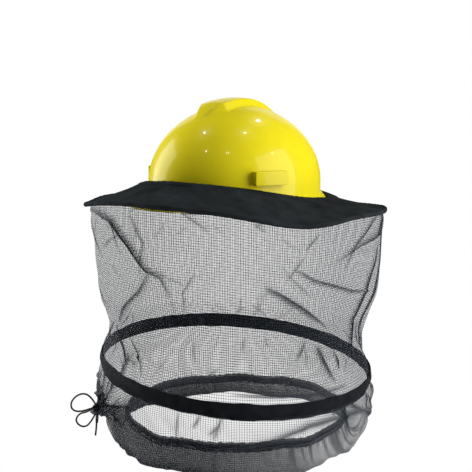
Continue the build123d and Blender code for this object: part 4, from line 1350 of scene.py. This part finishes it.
# ---------------------------------------------------------------- hoop
class VEIL_OT_hoop(bpy.types.Operator):
    """Covers the spring hoop with its tape"""

    bl_idname = "veil.hoop"
    bl_label = "Hoop"

    def frame_arrays(self, turns):
        """Centre line and section directions of the tilted hoop."""
        spin = np.array([
            [math.cos(HOOP_SLOPE), 0.0, math.sin(HOOP_SLOPE)],
            [0.0, 1.0, 0.0],
            [-math.sin(HOOP_SLOPE), 0.0, math.cos(HOOP_SLOPE)],
        ])
        outward = polar(1.0, turns, 0.0) @ spin.T
        upward = np.tile(spin @ np.array([0.0, 0.0, 1.0]), (len(turns), 1))
        centre = outward * HOOP_RADIUS + np.array([0.0, 0.0, HOOP_Z])
        return centre, outward, upward

    def execute(self, context):
        turns = ring_turns(900)
        centre, outward, upward = self.frame_arrays(turns)
        pucker = 0.35 * MM * ring_noise(turns, (37, 58, 91, 133), 41)
        lean = 1.3 * MM * ring_noise(turns, (3, 5, 7), 42)
        edge = 0.7 * MM * ring_noise(turns, (11, 17, 29), 43)
        profile = []
        for a in ring_turns(36):
            up_share = rounded(math.sin(a), 0.75)
            pinch = 0.45 + 0.55 * math.exp(-(up_share / 0.42) ** 2)
            out = rounded(math.cos(a), 0.6) * TAPE_THICK / 2 * pinch
            up = up_share * TAPE_TALL / 2
            profile.append((out + pucker * abs(up_share) + lean * up_share, up + edge * up_share))
        tape = dress(tube_ring("hoop_tape_cover", centre, outward, upward, profile, HOOP_RADIUS), "hoop_tape")
        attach(tape, "hoop")
        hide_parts("hoop_tape")
        lap_turns = np.linspace(math.radians(83.0), math.radians(95.0), 40)
        lap_centre, lap_out, lap_up = self.frame_arrays(lap_turns)
        levels = np.linspace(-1, 1, 13)[:, None]
        bulge = TAPE_THICK / 2 + 0.75 * MM - 1.1 * MM * levels ** 2
        rise = levels * 8.5 * MM
        points = lap_centre[None] + lap_out[None] * bulge[..., None] + lap_up[None] * rise[..., None]
        texture = np.stack(np.broadcast_arrays(lap_turns[None, :] * HOOP_RADIUS, rise), -1)
        lap = grid_piece("tape_lap_end", points[::-1], False, texture)
        thicken(lap, 0.8 * MM)
        dress(lap, "hoop_tape")
        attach(lap, "hoop")
        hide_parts("tape_lap")
        for name in ("hoop_wire", "hoop_ferrule"):
            dress_frame_node(name, "steel_wire")
        return {"FINISHED"}


# ---------------------------------------------------------------- skirt
# Share of the way along, radius and drop below the tape in millimetres.
SKIRT_PROFILE = [
    (0.0, 180.0, 2.5), (0.12, 182.5, -13.0), (0.28, 183.0, -30.0), (0.42, 181.0, -52.0),
    (0.54, 176.0, -72.0), (0.64, 168.0, -88.0), (0.72, 160.0, -90.0), (0.80, 155.0, -84.0),
    (0.90, 150.0, -72.0), (1.0, 148.0, -61.0),
]


def hem_sag(turns):
    """How far the gathered hem leaves its level ring."""
    return 3.2 * MM * ring_noise(turns, (3, 5, 9, 14), 71)


class VEIL_OT_skirt(bpy.types.Operator):
    """Gathers the lower net from the hoop down to the fold and up to the hem"""

    bl_idname = "veil.skirt"
    bl_label = "Skirt"

    ROUND = 900
    DOWN = 84
    BOW_SIDE = 222.0
    # Places where the fold is drawn up: degrees round, width in degrees and share.
    BUNDLES = [(BOW_SIDE, 26.0, 1.0), (15.0, 18.0, 0.5), (140.0, 20.0, 0.4)]
    BUNDLE_RISE = 14
    BUNCH_TURN = 238.0
    BUNCH_WIDE = 24.0
    # Degrees round and how crowded the layers of the lower edge are there.
    CROWD_ROUND = [(0, 0.1), (40, 0.15), (90, 0.5), (220, 0.9), (300, 1.0), (335, 0.6)]

    def profile(self, shares):
        """Radius, and drop below the tape, at each share of the way along."""
        steps = np.linspace(0, 1, 240)
        along = [row[0] for row in SKIRT_PROFILE]
        columns = []
        for column in (1, 2):
            raw = np.interp(steps, along, [row[column] * MM for row in SKIRT_PROFILE])
            columns.append(np.interp(shares, steps, smoothed(raw, 19, mode="reflect", reflect_type="odd")))
        return columns

    # Each fold: its route as (degrees, height in mm), then width and depth in mm, and layers.
    FOLDS = [
        ([(396, -268), (376, -252), (355, -243), (340, -246), (325, -258), (308, -268)], 3.4, 4.0, 0.75),
        ([(357, -222), (366, -240), (378, -260), (392, -270)], 2.8, 5.0, 0.9),
        ([(236, -232), (250, -246), (268, -270)], 2.6, 6.0, 0.8),
    ]

    def drape(self, turns, shares):
        radius, drop = self.profile(shares)
        top = hoop_height(HOOP_RADIUS * np.cos(turns)) - TAPE_TALL / 2 + 2.5 * MM
        level_top = HOOP_Z - TAPE_TALL / 2
        ease = (1 - smooth_step(shares / 0.62))[:, None]
        height = level_top + drop[:, None] + (top - level_top)[None, :] * ease
        radius = radius[:, None] + 0 * turns[None, :]
        gathers = sizes().hem_gathers
        rng = random.Random(51)
        pleats = np.zeros_like(radius)
        for index in range(gathers):
            middle = (index + rng.uniform(-0.35, 0.35)) * TURN / gathers
            width = rng.uniform(0.25, 0.5) * TURN / gathers
            start = rng.uniform(0.15, 0.75)
            bend = rng.uniform(-0.10, 0.10)
            line = middle + bend * (1 - shares[:, None])
            away = turned_from(turns[None, :], line)
            grown = smooth_step((shares[:, None] - start) / (1.02 - start))
            pleats += rng.uniform(2.0, 5.0) * MM * np.exp(-(away / width) ** 2) * grown
        slack = ring_noise(turns[None, :] + 0.3 * shares[:, None], (5, 9, 14), 52)
        ripple = ring_noise(turns[None, :] - 0.5 * shares[:, None], (23, 31, 43), 53)
        belly = np.sin(math.pi * np.clip(shares, 0, 1))[:, None]
        radius = radius + slack * belly * 4.0 * MM + ripple * belly * 1.8 * MM
        outer = (shares < 0.7)[:, None]
        radius = radius + pleats * np.where(outer, 1.0, 0.55)
        scallop = ring_noise(turns, (4, 7, 11), 54)[None, :] * 5.0 * MM * belly ** 2
        height = height + scallop
        for turn, wide, amount in self.BUNDLES:
            away = turned_from(turns, math.radians(turn))
            grip = np.exp(-(away / math.radians(wide)) ** 2)[None, :]
            height = height + amount * self.BUNDLE_RISE * MM * grip * belly ** 1.5
        height = height + hem_sag(turns)[None, :] * smooth_step((shares - 0.6) / 0.35)[:, None]
        base = polar(radius, turns[None, :], height)
        cloth = Drape(base, turns, HOOP_RADIUS)
        cloth.layers = np.clip(pleats / (5.0 * MM), 0.0, 1.0) * 0.75
        for route, width, depth, layers in self.FOLDS:
            cloth.fold(route, width * MM, depth * MM, 0.8, 0.0, layers)
        cloth.small_folds(55, 30, (-228.0, -220.0), (-50.0, -14.0), (1.3, 2.4), (1.5, 4.0), 7.0, (0.2, 0.6))
        rng = random.Random(56)
        for _ in range(22):
            turn = self.BOW_SIDE + rng.uniform(-26.0, 34.0)
            spread = turn - self.BOW_SIDE
            route = [(self.BOW_SIDE + spread * 0.15, -279.0), (turn, -252.0 + rng.uniform(-12, 10)),
                     (turn + spread * 0.4, -228.0)]
            width = rng.uniform(1.6, 3.0) * MM
            depth = rng.uniform(2.0, 6.0) * MM
            cloth.fold(route, width, depth, 0.8, 0.0, rng.uniform(0.5, 0.95))
        held = (smooth_step(shares / 0.05) * smooth_step((0.72 - shares) / 0.12))[:, None, None]
        away = turned_from(turns, math.radians(self.BUNCH_TURN))
        bunch = np.exp(-(away / math.radians(self.BUNCH_WIDE)) ** 2)[None, :]
        bunch = bunch * smooth_step(shares / 0.4)[:, None]
        share_round = ring_value(turns, self.CROWD_ROUND)[None, :]
        crowd = 0.8 * smooth_step((shares - 0.5) / 0.2)[:, None] * share_round
        layers = np.maximum(cloth.layers, np.maximum(bunch * 0.25, crowd))
        return base + (cloth.points - base) * held, layers

    def execute(self, context):
        turns = ring_turns(self.ROUND)
        shares = np.linspace(0.0, 1.0, self.DOWN)
        points, layers = self.drape(turns, shares)
        texture = ring_texture(turns, shares * 0.150, HOOP_RADIUS)
        skirt = grid_piece("skirt_net_cloth", points, True, texture, layers)
        thicken(skirt, sizes().net_thickness)
        dress(skirt, "net")
        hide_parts("skirt_net")
        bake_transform(skirt)
        return {"FINISHED"}


# ---------------------------------------------------------------- hem
class VEIL_OT_hem(bpy.types.Operator):
    """Makes the gathered hem with its elastic and its draw cord"""

    bl_idname = "veil.hem"
    bl_label = "Hem"

    def ring(self, name, radius, half_out, half_up, pucker_waves, pucker, material, sides=20):
        turns = ring_turns(900)
        centre = polar(radius, turns, HEM_MIDDLE[2] + hem_sag(turns))
        outward, upward = level_axes(turns)
        crimp = pucker * ring_noise(turns, pucker_waves, 61)
        other = pucker * ring_noise(turns, pucker_waves, 62)
        profile = []
        for a in ring_turns(sides):
            out = rounded(math.cos(a), 0.7) * half_out
            up = rounded(math.sin(a), 0.7) * half_up
            profile.append((out + crimp, up + other * abs(math.sin(a))))
        return dress(tube_ring(name, centre, outward, upward, profile, radius), material)

    def execute(self, context):
        radius = HEM_HALF[0] - 3.5 * MM
        casing = self.ring("hem_channel", radius, 3.0 * MM, 6.2 * MM, (71, 97, 128), 0.8 * MM, "seam_tape")
        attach(casing, "hem")
        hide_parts("hem_casing")
        elastic = self.ring(
            "hem_elastic_braid", radius - 1.4 * MM, 0.6 * MM, 3.3 * MM, (71, 97), 0.15 * MM, "elastic", 12)
        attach(elastic, "hem")
        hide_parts("hem_elastic")
        cord = self.ring(
            "draw_cord_in_hem", radius + 1.0 * MM, 1.2 * MM, 1.2 * MM, (71, 97), 0.1 * MM, "draw_cord", 12)
        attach(cord, "hem")
        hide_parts("draw_cord")
        return {"FINISHED"}


# ---------------------------------------------------------------- add-on
STEPS = (
    VEIL_OT_stage,
    VEIL_OT_draw_bow,
    VEIL_OT_helmet_shell,
    VEIL_OT_suspension,
    VEIL_OT_brim,
    VEIL_OT_rim,
    VEIL_OT_upper_net,
    VEIL_OT_hoop,
    VEIL_OT_skirt,
    VEIL_OT_hem,
)


class VEIL_PT_panel(bpy.types.Panel):
    """Sidebar panel with the veil's settings and steps"""

    bl_idname = "VEIL_PT_panel"
    bl_label = "Beekeeping Veil"
    bl_space_type = "VIEW_3D"
    bl_region_type = "UI"
    bl_category = "Veil"

    def draw(self, context):
        for group in (context.scene.veil_sizes, context.scene.veil_colours):
            for name in group.__annotations__:
                self.layout.prop(group, name)
        for step in STEPS:
            self.layout.operator(step.bl_idname)


CLASSES = (VeilSizes, VeilColours, *STEPS, VEIL_PT_panel)


def register():
    for cls in CLASSES:
        bpy.utils.register_class(cls)
    bpy.types.Scene.veil_sizes = bpy.props.PointerProperty(type=VeilSizes)
    bpy.types.Scene.veil_colours = bpy.props.PointerProperty(type=VeilColours)


def unregister():
    del bpy.types.Scene.veil_sizes
    del bpy.types.Scene.veil_colours
    for cls in reversed(CLASSES):
        bpy.utils.unregister_class(cls)


def main():
    register()
    for step in STEPS:
        group, name = step.bl_idname.split(".")
        getattr(getattr(bpy.ops, group), name)()


if __name__ == "__main__":
    main()
